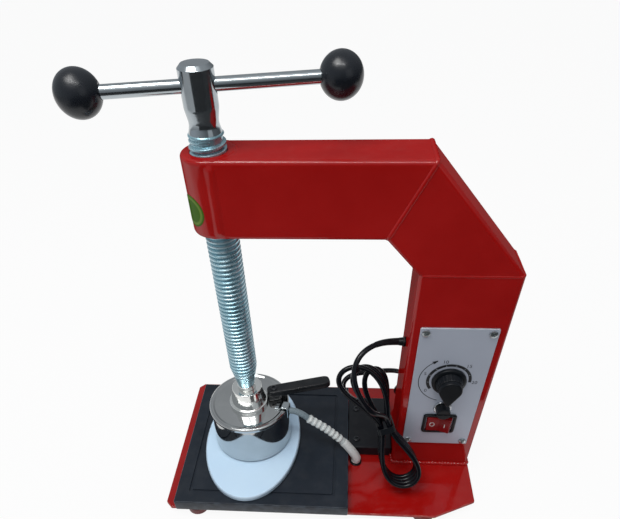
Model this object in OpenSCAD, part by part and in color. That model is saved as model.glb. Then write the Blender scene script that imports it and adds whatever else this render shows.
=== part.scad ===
// Bench tire vulcanizer: a welded box-tube C frame on a plate, a hand screw with a
// sliding tommy bar, a round heater on the screw's swivel, and a flat lower platen.
// Millimetres. The screw axis is at X = Y = 0 and the base plate's top at Z = 0 inside
// the modules; at_frame() moves that point so that the origin is the middle of the footprint.

/* [Base] */
// Screw axis to the front edge of the base plate
base_front = 85; // [80:1:110]
// Screw axis to the back edge of the base plate
base_back = 92; // [80:1:120]
// Screw axis to the left edge of the base plate
base_left = 83; // [75:1:110]
// Plate beyond the column on the right
base_lip = 1.5; // [1:0.5:20]
// Thickness of the base plate
base_t = 4; // [3:0.5:8]
// Small corner cut of the base plate
corner_cut = 6; // [2:1:12]
// Length of the large front-right corner cut
big_cut_x = 42; // [20:1:50]
// Depth of the large front-right corner cut
big_cut_y = 19; // [10:1:30]
// Diameter of a foot
foot_d = 22; // [18:1:24]
// Height of a foot
foot_h = 10; // [8:1:20]
// Foot centre from the front and back edges
foot_inset_y = 10; // [10:1:20]
// Foot centre from the left and right edges
foot_inset_x = 31; // [16:1:36]
// Diameter of the bolt that holds a foot
foot_bolt_d = 5; // [4:0.5:6]

/* [Frame] */
// Screw axis to the inner face of the column
throat = 151.5; // [148:0.5:175]
// Width of the column tube
column_w = 80; // [72:1:90]
// Height of the column up to its level cut
column_h = 237; // [232:1:255]
// Depth of the box tubes
tube_d = 40; // [36:1:50]
// Wall of the box tubes
tube_wall = 2.5; // [2:0.5:4]
// Outer corner radius of the box tubes
tube_r = 3; // [2:0.5:4]
// Height of the arm tube
arm_h = 57; // [52:1:66]
// Underside of the arm above the base plate
arm_clear = 266.5; // [258:0.5:290]
// Screw axis to the outer corner between the arm and the diagonal
mitre_x = 153.5; // [140:0.5:165]
// Edge radius of the boss that guides the screw
boss_edge = 3; // [1:0.5:5]
// Diameter of the blank sticker on the boss
sticker_d = 23; // [10:1:26]
// Middle of the sticker below the middle of the boss
sticker_drop = 9; // [0:1:14]

/* [Lower platen] */
// Screw axis to the left edge of the platen
platen_left = 71; // [60:1:74]
// Screw axis to the right edge of the platen
platen_right = 104; // [96:1:106]
// Screw axis to the front edge of the platen, which stands over the base plate's edge
platen_front = 88; // [82:1:112]
// Screw axis to the back edge of the platen
platen_back = 78; // [70:1:84]
// Height of the platen
platen_h = 14; // [12:0.5:20]
// Groove in the platen from its left and right edges
groove_in_x = 13; // [8:1:20]
// Groove in the platen from its front and back edges
groove_in_y = 13; // [8:1:20]
// Width of the groove
groove_w = 2.5; // [1:0.5:5]
// Depth of the groove
groove_d = 1; // [0.5:0.5:2]
// Width and length of the lower heating element
element_x = 90; // [60:1:110]
// Depth of the lower heating element
element_y = 90; // [60:1:110]
// Thickness of the lower heating element
element_t = 4; // [2:0.5:6]
// Thickness of the insulating sheet below the element
sheet_t = 3; // [2:0.5:4]
// Diameter of the bolts that hold the platen
platen_bolt_d = 6; // [5:0.5:8]
// Platen bolt from the left and right edges of the platen
platen_bolt_in_x = 8; // [6:0.5:9]
// Platen bolt from the front and back edges of the platen
platen_bolt_in_y = 30; // [28:1:34]

/* [Terminal cover] */
// Height of the wire cover between platen and column
cover_h = 14; // [12:1:24]
// Wall of the wire cover
cover_wall = 1.5; // [1:0.5:2.5]
// Screw axis to the front of the wire cover
cover_front = 12; // [8:1:13]
// Screw axis to the back of the wire cover
cover_back = 62; // [50:1:75]
// Gap that the wire cover leaves on each side
cover_gap = 0.5; // [0.3:0.1:1.5]
// Wire cover's front screw from its front edge
cover_screw_in = 11; // [8:1:20]
// Wire cover's back screw from its back edge
cover_screw_far = 19; // [8:1:24]
// Diameter of a pan-head screw's head
pan_d = 7; // [5:0.5:9]
// Height of a pan-head screw's head
pan_h = 2.2; // [1.5:0.1:3]
// Diameter of a pan-head screw's shank
pan_shank_d = 3.5; // [3:0.5:4]

/* [Press screw] */
// Outer diameter of the thread
screw_d = 26; // [22:1:28]
// Lead of the thread
screw_lead = 4; // [3:0.5:6]
// Depth of the thread
thread_depth = 2; // [1.25:0.25:3]
// Length of the threaded stretch
thread_l = 216; // [200:1:240]
// Diameter of the plain end below the thread
tip_d = 12.5; // [11:0.5:16]
// Diameter of the cone below the thread at its lower end
cone_d = 16.5; // [14:0.5:18]
// Plain end showing between the swivel ring and the thread
tip_show = 20.5; // [12:0.5:24]
// Diameter of the head
head_d = 23; // [21:0.5:28]
// Height of the head's straight stretch
head_l = 27; // [22:1:34]
// Height of the plain neck between thread and head
neck_l = 8.75; // [5:0.25:14]
// Diameter of the plain neck between thread and head
neck_d = 19.5; // [17:0.5:21]
// Running clearance round a turning or sliding shaft
run_gap = 0.08; // [0.04:0.01:0.1]
// Diameter of the tommy bar
bar_d = 8.5; // [7:0.5:10]
// Screw axis to the centre of the left ball
bar_left = 73.5; // [60:0.5:100]
// Screw axis to the centre of the right ball
bar_right = 91.5; // [60:0.5:110]
// Diameter of a ball
ball_d = 29; // [24:1:34]
// Depth of the bar in a ball
bar_in_ball = 14; // [10:1:18]
// Bar centre below the top of the head
bar_drop = 12.5; // [9:0.5:16]
// Turn of the bar at rest
bar_turn = 11; // [0:1:30]

/* [Upper heater] */
// Width of the loose oval press plate
press_w = 102; // [90:1:116]
// Length of the loose oval press plate
press_l = 162; // [120:1:164]
// Thickness of the press plate
press_t = 6; // [4:0.5:8]
// Bevel of the press plate's edge
press_bevel = 1.5; // [0.5:0.5:3]
// Press plate's middle in front of the screw axis
press_shift = 4; // [0:0.5:4]
// Gap between faces that rest on each other across a joint
seat_gap = 0.2; // [0.1:0.1:0.5]
// Radius of the heater's wall at the bottom
wall_r_low = 41.5; // [36:0.5:44]
// Radius of the heater's wall at the top
wall_r_top = 39; // [34:0.5:42]
// Height of the heater's wall
wall_h = 49; // [40:1:60]
// Sheet thickness of the heater's wall and cover
skin_t = 1.2; // [0.8:0.1:2]
// Sole plate showing below the wall
sole_show = 2; // [1:0.5:4]
// Thickness of the sole plate
sole_t = 10; // [6:0.5:14]
// Gap between the sole plate and the wall
sole_gap = 0.4; // [0.3:0.1:1]
// Radius of the rim of the heater's cover
rim_r = 41; // [38:0.5:46]
// Height of the rim of the heater's cover
rim_h = 4; // [2:0.5:6]
// Rise of the cover above its rim
cover_rise = 2; // [1:0.5:4]
// Radius of the upper heating element
coil_r = 32; // [24:0.5:34]
// Thickness of the upper heating element
coil_t = 5; // [3:0.5:8]
// Radius of the insulating disc
disc_r = 36; // [30:0.5:37]
// Thickness of the insulating disc
disc_t = 12; // [6:0.5:18]
// Radius of the post that carries the press force
post_r = 9; // [7:0.5:12]
// Radius of the swivel socket's flange
socket_flange_r = 19.5; // [18:0.5:20]
// Height of the swivel socket's flange
socket_flange_h = 3; // [2:0.5:5]
// Radius of the swivel socket's cone at the flange
socket_base_r = 17.5; // [15:0.5:18]
// Radius of the swivel socket's cone at its top
socket_top_r = 14.5; // [11:0.5:15]
// Height of the swivel socket
socket_h = 18.5; // [14:0.5:24]
// Floor below the swivel socket's bore
socket_floor = 4; // [3:0.5:6]
// Height of the thrust washer
washer_h = 2; // [1:0.5:3]
// Height of the swivel ring
ring_h = 5; // [2:0.5:6]
// Wall of the swivel ring
ring_wall = 2.5; // [1.5:0.5:4]
// Turn of the handle away from the front
handle_turn = 16; // [10:1:30]
// Reach of the handle from the screw axis
handle_reach = 86; // [70:1:94]
// Width of the handle
handle_w = 13; // [10:0.5:18]
// Height of the handle
handle_h = 7.5; // [6:0.5:14]
// Lift of the handle above the cover
handle_lift = 1; // [0.5:0.5:6]
// Length of the handle's foot
handle_foot_l = 14; // [10:0.5:18]
// Turn of the lead clip towards the front
clip_turn = 11; // [5:1:20]
// Width of the lead clip
clip_w = 10; // [8:0.5:14]
// Length of the lead clip's tab on the cover
clip_tab = 8; // [6:0.5:12]

/* [Control panel] */
// Width of the panel plate
panel_w = 65; // [60:1:72]
// Height of the panel plate
panel_h = 151; // [146:1:160]
// Thickness of the panel plate
panel_t = 1.5; // [1:0.5:3]
// Bottom of the panel above the base plate
panel_low = 37; // [20:1:50]
// Column window inset behind the panel edge
window_in = 8; // [7:0.5:12]
// Corner screw inset
panel_screw_in = 5; // [4.5:0.5:6]
// Knob centre above the bottom of the panel
knob_up = 91; // [88:1:100]
// Diameter of the knob's skirt
knob_d = 31; // [26:1:34]
// Height of the knob
knob_h = 15; // [11:0.5:22]
// Knob centre to the middle of the pointer's round tip
pointer_reach = 17; // [15:0.5:19]
// Diameter of the timer shaft
shaft_d = 6; // [5:0.5:7]
// Width and height of the timer body
timer_w = 42; // [36:1:46]
// Depth of the timer body
timer_t = 18; // [12:1:28]
// Fuse centre above the bottom of the panel
fuse_up = 55; // [54:1:58]
// Diameter of the fuse holder's flange
fuse_d = 17; // [15:0.5:18]
// Diameter of the fuse holder's body
fuse_body_d = 11; // [9:0.5:11.5]
// Diameter of the fuse cap
fuse_cap_d = 13.5; // [11:0.5:15]
// Height of the fuse cap
fuse_cap_h = 8; // [5:0.5:12]
// Switch centre above the bottom of the panel
switch_up = 32; // [30:1:33]
// Width of the switch bezel
bezel_w = 32; // [28:1:36]
// Height of the switch bezel
bezel_h = 26; // [22:1:27]
// Thickness of the switch bezel
bezel_t = 2; // [1:0.5:3]
// Rim of the switch bezel round the rocker
bezel_rim = 3; // [2:0.5:4]
// Depth of the switch housing behind the panel
switch_depth = 22; // [14:1:28]
// Tilt of the rocker to each side
rocker_tilt = 10; // [6:1:12]
// Gap round the rocker
rocker_gap = 0.5; // [0.3:0.1:0.8]

/* [Cords] */
// Diameter of the power cord
cord_d = 5; // [4.5:0.5:5.5]
// Height of the cord gland above the base plate
gland_up = 155; // [154:0.5:156]
// Diameter of the cord gland's nut
gland_d = 10; // [9:1:14]
// Length of the cord gland's nut
gland_nut_l = 2.5; // [2:0.5:4]
// Diameter of the cord gland's sleeve
gland_sleeve_d = 8; // [7:0.5:9]
// Length of the cord gland's sleeve
gland_sleeve_l = 4; // [3:0.5:5]
// Loops in the hank's upper end
hank_loops = 3; // [2:1:3]
// Length of the hank below its waist
hank_low_l = 70; // [60:1:72]
// Half width of the hank's lower loops
hank_low_w = 21; // [16:0.5:22]
// Length of the first upper loop above the waist
hank_first_l = 78; // [66:1:80]
// Length of the last upper loop above the waist
hank_last_l = 52; // [46:1:54]
// Half width of the first upper loop
hank_first_w = 23; // [18:0.5:24]
// Half width of the last upper loop
hank_last_w = 6; // [5:0.5:8]
// Half width of the hank at its waist
waist_half_w = 3.4; // [3.2:0.1:4]
// Step from one loop of the hank to the next
hank_step = 5.9; // [5.8:0.1:6.2]
// Width of the tie round the hank's waist
tie_w = 6; // [4:0.5:10]
// Thickness of the tie
tie_t = 1.2; // [0.8:0.1:2]
// Diameter of the heater lead's sleeve
lead_d = 6.5; // [5:0.5:7]
// Diameter of the lead boot at its ribs
boot_d = 9; // [8:0.5:9.5]
// Diameter of the lead boot at its root
boot_root_d = 10; // [9:0.5:11]
// Ribs on the lead boot
boot_ribs = 8; // [5:1:10]
// Diameter of the grommet at the boot's root
grommet_d = 12.5; // [12:0.5:15.5]
// Height of the grommet above the base plate
grommet_h = 1.5; // [1:0.5:2]
// Length of the plug body
plug_l = 38; // [30:1:40]
// Width of the plug body
plug_w = 34; // [26:1:38]
// Height of the plug body
plug_h = 22; // [18:1:22]
// Diameter of a plug pin
pin_d = 4.8; // [4:0.1:5]
// Length of a plug pin
pin_l = 19; // [15:0.5:20]
// Distance between the plug pins
pin_pitch = 19; // [16:0.5:20]

/* [Hidden] */
$fn = 64;
// Overlap of a cutting tool beyond the face it cuts
cut = 1;

// Where the frame's pieces end
base_right = throat + column_w + base_lip;
plate_top = base_t + foot_h;
arm_top = arm_clear + arm_h;
bar_reach_left = bar_left * cos(bar_turn) + ball_d / 2;
footprint_left = max(base_left, bar_reach_left);
mid_x = (base_right - footprint_left) / 2;
mid_y = (base_back - platen_front) / 2;
boss_r = tube_d / 2;
// The diagonal's slope, and its inner mitre corner from the parallel inner edge
slope = (throat + column_w - mitre_x) / (arm_top - column_h);
mitre_in_x = throat - (arm_clear - column_h) * slope;
diag_h = column_w * cos(atan(slope));

// Levels of the heater stack, from the base plate up
z_press = platen_h;
z_sole = z_press + press_t + seat_gap;
z_wall = z_sole + sole_show;
z_rim = z_wall + wall_h;
z_cover = z_rim + cover_rise;
z_coil = z_sole + sole_t;
z_disc = z_coil + coil_t;
z_post = z_disc + disc_t;
z_socket = z_cover + skin_t;
z_washer = z_socket + socket_floor + seat_gap;
z_tip = z_washer + washer_h + seat_gap;
z_ring = z_socket + socket_h + seat_gap;
z_thread = z_ring + ring_h + tip_show;
z_neck = z_thread + thread_l;
taper_l = (head_d - neck_d) * 1.5;
z_head = z_neck + neck_l + taper_l;
z_head_top = z_head + head_l;
z_bar = z_head_top - bar_drop;
head_edge = 1.5;
thread_core_r = screw_d / 2 - thread_depth;

// The panel's face and the centres of its controls
panel_x = throat + column_w / 2;
front_y = -tube_d / 2;
face_y = front_y - panel_t;
knob_z = panel_low + knob_up;
fuse_z = panel_low + fuse_up;
switch_z = panel_low + switch_up;
gland_end = throat - gland_nut_l - gland_sleeve_l;

// The hank leans from the wire cover to the front of the column: its middle and three directions
hank_mid = [138, -30, 74];
hank_lean = [-42, 54, 126];
hank_face = [8, 64, -77];
hank_long = unit(hank_lean);
hank_deep = unit(cross_out(hank_face, hank_long));
hank_wide = cross(hank_long, hank_deep) * -1;
rings_per_loop = 24;
hank_turns = hank_loops + 0.5;
// Lean in degrees of the first and last upper loops and of the lower loops from the long direction,
// and the share of the hank's length on each side of the waist that keeps its width
fan_first = 27;
fan_last = -13;
fan_low = 6;
waist_run = 0.08;

// Gap between the end of a cord and what it goes into
cord_gap = 0.3;
plug_at = [172, 70, 11];
// Hand-chosen route of the power cord between the gland and the hank
cord_route = [[gland_end - cord_gap, 0, gland_up], [gland_end - cord_d, 0, gland_up], [130, -5, 158], [119, -12, 158.5],
  [109.5, -20, 155], [105, -28, 146], [106.5, -36, 133]];
// Hand-chosen route of the cord's tail from the hank to the plug
tail_route = [[118, -6, 78], [104, -3, 88], [96, 1, 96], [103, 6, 100], [117, 11, 101], [131, 18, 100], [143, 28, 92], [157, 37, 82],
  [166, 50, 60], [162, 61, 38], [157.5, 68, 21], [160, 70, 12.5], plug_at - [cord_d, 0, 0], plug_at - [cord_gap, 0, 0]];
// Where the lead's boot stands on the base plate
grommet_at = [112.5, -21, 0];
// Outer face of the lead clip
clip_gap = 0.3;
clip_out_r = wall_r_low + clip_gap + skin_t;
// Hand-chosen route of the heater lead from the clip to the grommet
lead_out_r = clip_out_r + cord_gap;
lead_start = [cos(clip_turn) * lead_out_r, -sin(clip_turn) * lead_out_r, 67];
lead_join = [61, -11.5, 60];
join_lean = [13, -2, -10];
join_way = unit(join_lean);
sleeve_route = [lead_start, lead_start + [lead_d * cos(clip_turn), -lead_d * sin(clip_turn), 0],
  lead_join - lead_d * join_way, lead_join];
boot_route = [lead_join + seat_gap * join_way, lead_join + lead_d * join_way, [77, -14, 49], [88, -16, 40],
  [99, -18, 29], [108, -20, 17], grommet_at + [0, 0, grommet_h + boot_d * 0.7], grommet_at + [0, 0, grommet_h + boot_d * 0.35],
  grommet_at + [0, 0, grommet_h + cord_gap]];

function unit(v) = v / norm(v);
// Part of v that is square to the unit direction d
function cross_out(v, d) = v - (v * d) * d;
// Points of a smooth curve through p, with k points a span
function smooth(p, k) = [for (i = [0 : len(p) - 2], j = [0 : k - 1])
    let (a = p[max(i - 1, 0)], b = p[i], c = p[i + 1], d = p[min(i + 2, len(p) - 1)], s = j / k)
    b + 0.5 * s * (c - a) + s * s * (a - 2.5 * b + 2 * c - 0.5 * d) + s * s * s * (1.5 * b - 0.5 * a - 1.5 * c + 0.5 * d),
  p[len(p) - 1]];
function tangents(q) = [for (i = [0 : len(q) - 1]) unit(q[min(i + 1, len(q) - 1)] - q[max(i - 1, 0)])];
// Directions square to the curve that turn as little as they can from ring to ring
function normals(t, first) = [for (i = 0, n = unit(cross_out(first, t[0])); i < len(t);
    i = i + 1, n = i < len(t) ? unit(cross_out(n, t[i])) : n) n];
// Least distance between points of q that are at least k steps apart
function least_gap(q, k) = min([for (i = [0 : len(q) - 1 - k], j = [i + k : len(q) - 1]) norm(q[i] - q[j])]);

// One turn of the hank is a long loop: the run along it follows a sine, the half width grows from
// the waist to the ends, each loop steps once through the depth, and the upper loops fan out.
function hank_point(s) =
  let (u = -sin(360 * s), side = cos(360 * s), share = s / hank_turns, top = u > 0,
    long = top ? hank_first_l + (hank_last_l - hank_first_l) * share : hank_low_l,
    end_w = top ? hank_first_w + (hank_last_w - hank_first_w) * share : hank_low_w,
    swell = max(abs(u) - waist_run, 0) / (1 - waist_run),
    across = side * (1.9 - 0.9 * abs(side)) * (waist_half_w + (end_w - waist_half_w) * sin(90 * swell)),
    fan = (top ? fan_first + (fan_last - fan_first) * share : fan_low) * abs(u))
  hank_mid + hank_long * (u * long * cos(fan) + across * sin(fan))
  + hank_wide * (across * cos(fan) - u * long * sin(fan))
  + hank_deep * hank_step * (s - hank_turns / 2);
hank_loops_path = [for (i = [0 : rings_per_loop * hank_turns]) hank_point(i / rings_per_loop)];
hank_path = concat([hank_point(0) + hank_long * cord_d], hank_loops_path, [hank_point(hank_turns) + hank_long * cord_d]);
echo(hank_least_gap = least_gap(hank_path, rings_per_loop / 3) - cord_d);

module at_frame() translate([-mid_x, -mid_y, plate_top]) children();

// A tube of round rings along the points q, with one radius a ring
module tube(q, radii, sides, first) {
  t = tangents(q);
  n = normals(t, first);
  rings = len(q);
  points = [for (i = [0 : rings - 1], j = [0 : sides - 1])
    q[i] + radii[i] * (cos(360 * j / sides) * n[i] + sin(360 * j / sides) * cross(t[i], n[i]))];
  sides_a = [for (i = [0 : rings - 2], j = [0 : sides - 1])
    [i * sides + j, (i + 1) * sides + (j + 1) % sides, i * sides + (j + 1) % sides]];
  sides_b = [for (i = [0 : rings - 2], j = [0 : sides - 1])
    [i * sides + j, (i + 1) * sides + j, (i + 1) * sides + (j + 1) % sides]];
  start = [for (j = [1 : sides - 2]) [0, j, j + 1]];
  last = (rings - 1) * sides;
  end = [for (j = [1 : sides - 2]) [last, last + j + 1, last + j]];
  polyhedron(points, concat(sides_a, sides_b, start, end));
}

module round_rect(w, h, r) {
  square([w - 2 * r, h], center = true);
  square([w, h - 2 * r], center = true);
  for (x = [-1, 1], y = [-1, 1]) translate([x * (w / 2 - r), y * (h / 2 - r)]) circle(r);
}

// A closed outline in X and Z, extruded through the depth of the tubes
module side_slab(outline, depth) rotate([90, 0, 0]) linear_extrude(depth, center = true) polygon(outline);

module box_section(w) difference() {
  round_rect(w, tube_d, tube_r);
  square([w - 2 * tube_wall, tube_d - 2 * tube_wall], center = true);
}

module pan_screw(shank) {
  cylinder(h = pan_h, d1 = pan_d, d2 = pan_d * 0.7);
  translate([0, 0, -shank]) cylinder(h = shank, d = pan_shank_d);
}

module foot_places() for (x = [-base_left + foot_inset_x, base_right - foot_inset_x - big_cut_x / 2],
  y = [-base_front + foot_inset_y, base_back - foot_inset_y]) translate([x, y, 0]) children();

module platen_bolt_places() for (x = [-platen_left + platen_bolt_in_x, platen_right - platen_bolt_in_x],
  y = [-platen_front + platen_bolt_in_y, platen_back - platen_bolt_in_y]) translate([x, y, 0]) children();

module cover_screw_places() for (y = [-cover_front + cover_screw_in, cover_back - cover_screw_far])
  translate([platen_right + cover_gap + pan_d + cover_wall, y, cover_h]) children();

module panel_screw_places() for (x = [-1, 1], z = [-1, 1])
  translate([panel_x + x * (panel_w / 2 - panel_screw_in), face_y, panel_low + panel_h / 2 + z * (panel_h / 2 - panel_screw_in)])
    rotate([90, 0, 0]) children();

module panel_place(z) translate([panel_x, face_y, z]) rotate([90, 0, 0]) children();

module base_plate() color("firebrick") at_frame() difference() {
  translate([0, 0, -base_t]) linear_extrude(base_t) polygon([[-base_left + corner_cut, -base_front],
    [base_right - big_cut_x, -base_front], [base_right, -base_front + big_cut_y],
    [base_right, base_back - corner_cut], [base_right - corner_cut, base_back],
    [-base_left + corner_cut, base_back], [-base_left, base_back - corner_cut], [-base_left, -base_front + corner_cut]]);
  foot_places() translate([0, 0, -base_t - cut]) cylinder(h = base_t - foot_skin + cut, d = foot_bolt_d);
  platen_bolt_places() translate([0, 0, -base_t - cut]) cylinder(h = base_t + 2 * cut, d = platen_bolt_d);
  translate(grommet_at - [0, 0, base_t + cut]) cylinder(h = base_t + 2 * cut, d = lead_d);
}

// Steel left above a foot's blind bolt hole
foot_skin = 1;
foot_edge = 4;
foot_cup_d = foot_bolt_d + 4;
foot_cup_h = 4;
module feet() color("maroon") at_frame() foot_places() translate([0, 0, -plate_top]) rotate_extrude() difference() {
  union() {
    square([foot_d / 2 - foot_edge, foot_h]);
    translate([0, foot_edge]) square([foot_d / 2, foot_h - foot_edge]);
    translate([foot_d / 2 - foot_edge, foot_edge]) circle(foot_edge);
  }
  translate([-foot_d, -cut]) square([foot_d, foot_h + 2 * cut]);
  translate([0, -cut]) square([foot_cup_d / 2, foot_cup_h + cut]);
  square([foot_bolt_d / 2, foot_h + cut]);
}

foot_head_h = 3;
module foot_bolts() color("silver") at_frame() foot_places() translate([0, 0, -plate_top + foot_cup_h - foot_head_h]) {
  cylinder(h = foot_head_h, d = foot_cup_d - 1);
  cylinder(h = foot_head_h + foot_h - foot_cup_h + base_t - foot_skin, d = foot_bolt_d);
}

module column() color("firebrick") at_frame() difference() {
  translate([panel_x, 0, 0]) linear_extrude(column_h) box_section(column_w);
  translate([panel_x - panel_w / 2 + window_in, front_y - cut, panel_low + window_in])
    cube([panel_w - 2 * window_in, tube_wall + 2 * cut, panel_h - 2 * window_in]);
  panel_screw_places() translate([0, 0, -panel_t - tube_wall - cut]) cylinder(h = panel_t + tube_wall + 2 * cut, d = pan_shank_d);
  translate([throat - cut, 0, gland_up]) rotate([0, 90, 0]) cylinder(h = tube_wall + 2 * cut, d = cord_d + 2 * run_gap);
}

module diagonal() color("firebrick") at_frame() {
  corner_a = [mitre_x, arm_top];
  corner_b = [mitre_in_x, arm_clear];
  corner_c = [throat, column_h];
  corner_d = [throat + column_w, column_h];
  axis_mid = (corner_a + corner_b + corner_c + corner_d) / 4;
  tube_long = norm(corner_a - corner_d) + 2 * column_w;
  intersection() {
    translate([axis_mid[0], 0, axis_mid[1]]) rotate([0, 180 - atan(slope), 0])
      linear_extrude(tube_long, center = true) box_section(diag_h);
    side_slab([corner_a, corner_d, corner_c, corner_b], tube_d + 2 * cut);
  }
}

module arm() color("firebrick") at_frame() difference() {
  intersection() {
    translate([0, 0, arm_clear + arm_h / 2]) rotate([0, 90, 0]) linear_extrude(mitre_x + cut) box_section(arm_h);
    side_slab([[0, arm_top + cut], [mitre_x + cut * (mitre_x - mitre_in_x) / arm_h, arm_top + cut],
      [mitre_in_x - cut * (mitre_x - mitre_in_x) / arm_h, arm_clear - cut], [0, arm_clear - cut]], tube_d + 2 * cut);
  }
  translate([0, 0, arm_clear - cut]) cylinder(h = arm_h + 2 * cut, r = boss_r + run_gap);
}

module screw_boss() color("firebrick") at_frame() translate([0, 0, arm_clear]) rotate_extrude() difference() {
  union() {
    square([boss_r - boss_edge, arm_h]);
    translate([0, boss_edge]) square([boss_r, arm_h - 2 * boss_edge]);
    for (z = [boss_edge, arm_h - boss_edge]) translate([boss_r - boss_edge, z]) circle(boss_edge);
  }
  translate([-boss_r, -cut]) square([boss_r + screw_d / 2 + run_gap, arm_h + 2 * cut]);
}

sticker_t = 0.3;
sticker_turn = 220;
module boss_sticker() color("green") at_frame() intersection() {
  translate([0, 0, arm_clear]) difference() {
    cylinder(h = arm_h, r = boss_r + sticker_t);
    translate([0, 0, -cut]) cylinder(h = arm_h + 2 * cut, r = boss_r);
  }
  translate([0, 0, arm_clear + arm_h / 2 - sticker_drop]) rotate([0, 90, sticker_turn]) cylinder(h = boss_r + 2 * cut, d = sticker_d);
}

pocket_gap = 0.3;
module lower_platen() color("dimgray") at_frame() difference() {
  translate([-platen_left, -platen_front, 0]) cube([platen_left + platen_right, platen_front + platen_back, platen_h]);
  platen_groove();
  translate([-element_x / 2 - pocket_gap, -element_y / 2 - pocket_gap, -cut])
    cube([element_x + 2 * pocket_gap, element_y + 2 * pocket_gap, element_t + sheet_t + pocket_gap + cut]);
  platen_bolt_places() translate([0, 0, -cut]) cylinder(h = platen_h * 0.6 + cut, d = platen_bolt_d);
}

module platen_groove() {
  groove_x = platen_left + platen_right - 2 * groove_in_x;
  groove_y = platen_front + platen_back - 2 * groove_in_y;
  translate([(platen_right - platen_left) / 2, (platen_back - platen_front) / 2, platen_h - groove_d])
    linear_extrude(groove_d + cut) difference() {
      square([groove_x, groove_y], center = true);
      square([groove_x - 2 * groove_w, groove_y - 2 * groove_w], center = true);
    }
}

module platen_element() color("gray") at_frame()
  translate([-element_x / 2, -element_y / 2, sheet_t]) cube([element_x, element_y, element_t]);

module platen_sheet() color("tan") at_frame()
  translate([-element_x / 2, -element_y / 2, 0]) cube([element_x, element_y, sheet_t]);

platen_head_h = 4;
module platen_bolts() color("silver") at_frame() platen_bolt_places() translate([0, 0, -base_t]) {
  translate([0, 0, -platen_head_h]) cylinder(h = platen_head_h, d = platen_bolt_d * 1.8, $fn = 6);
  cylinder(h = base_t + platen_h * 0.5, d = platen_bolt_d);
}

module terminal_cover() color("black") at_frame() difference() {
  long_x = throat - platen_right - 2 * cover_gap;
  long_y = cover_front + cover_back;
  translate([platen_right + cover_gap, -cover_front, 0]) cube([long_x, long_y, cover_h]);
  translate([platen_right + cover_gap + cover_wall, -cover_front + cover_wall, -cut])
    cube([long_x - 2 * cover_wall, long_y - 2 * cover_wall, cover_h - cover_wall + cut]);
  cover_screw_places() translate([0, 0, -cover_wall - cut]) cylinder(h = cover_wall + 2 * cut, d = pan_shank_d);
}

module cover_screws() color("silver") at_frame() cover_screw_places() pan_screw(cover_h);

module press_screw() color("silver") at_frame() difference() {
  rotate_extrude() polygon(concat(
    [[0, z_tip], [tip_d / 2, z_tip], [tip_d / 2, z_ring + ring_h + seat_gap], [cone_d / 2, z_ring + ring_h + seat_gap],
      [screw_d / 2, z_thread - thread_depth], [thread_core_r, z_thread]],
    [for (i = [0 : thread_l / screw_lead - 1]) for (p = [[thread_core_r, 0.1], [screw_d / 2, 0.35], [screw_d / 2, 0.65], [thread_core_r, 0.9]])
      [p[0], z_thread + (i + p[1]) * screw_lead]],
    [[neck_d / 2, z_neck], [neck_d / 2, z_neck + neck_l], [head_d / 2, z_head], [head_d / 2, z_head_top - head_edge],
      [head_d / 2 - head_edge, z_head_top], [0, z_head_top]]));
  bar_line() translate([0, 0, -head_d]) cylinder(h = 2 * head_d, d = bar_d + 2 * run_gap);
}

module bar_line() translate([0, 0, z_bar]) rotate([0, 90, bar_turn]) children();

ball_flat = 1;
bar_low = -bar_left + ball_d / 2 - ball_flat - bar_in_ball;
bar_high = bar_right - ball_d / 2 + ball_flat + bar_in_ball;
module tommy_bar() color("silver") at_frame() bar_line()
  translate([0, 0, bar_low + ball_flat * 2]) cylinder(h = bar_high - bar_low - ball_flat * 4, d = bar_d);

module bar_balls() color("black") at_frame() bar_line() {
  translate([0, 0, -bar_left]) bar_ball();
  translate([0, 0, bar_right]) mirror([0, 0, 1]) bar_ball();
}

// A moulded ball with a flat and a blind hole towards the bar
module bar_ball() difference() {
  sphere(d = ball_d);
  translate([-ball_d / 2, -ball_d / 2, ball_d / 2 - ball_flat]) cube([ball_d, ball_d, ball_d]);
  translate([0, 0, ball_d / 2 + ball_flat - bar_in_ball]) cylinder(h = ball_d, d = bar_d);
}

module swivel_ring() color("silver") at_frame() translate([0, 0, z_ring]) difference() {
  cylinder(h = ring_h, d = tip_d + 2 * run_gap + 2 * ring_wall);
  translate([0, 0, -cut]) cylinder(h = ring_h + 2 * cut, d = tip_d + 2 * run_gap);
}

module thrust_washer() color("silver") at_frame() translate([0, 0, z_washer]) cylinder(h = washer_h, d = tip_d);

// The oval is a round plate stretched along the depth, so its edge is swept by a scaled outline
module press_plate() color("lightgray") at_frame() translate([0, -press_shift, z_press + seat_gap / 2]) {
  low_t = press_t - press_bevel;
  linear_extrude(low_t) oval(press_w, press_l);
  translate([0, 0, low_t]) linear_extrude(press_bevel / 2) oval(press_w - press_bevel, press_l - press_bevel);
  translate([0, 0, low_t + press_bevel / 2]) linear_extrude(press_bevel / 2)
    oval(press_w - 2 * press_bevel, press_l - 2 * press_bevel);
}

module oval(w, l) polygon([for (i = [0 : 95]) [w / 2 * cos(i * 3.75), l / 2 * sin(i * 3.75)]]);

module heater_socket() color("silver") at_frame() translate([0, 0, z_socket]) difference() {
  union() {
    cylinder(h = socket_flange_h, r = socket_flange_r);
    cylinder(h = socket_h, r1 = socket_base_r, r2 = socket_top_r);
  }
  translate([0, 0, socket_floor]) cylinder(h = socket_h, r = tip_d / 2 + 2 * run_gap + seat_gap);
}

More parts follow.
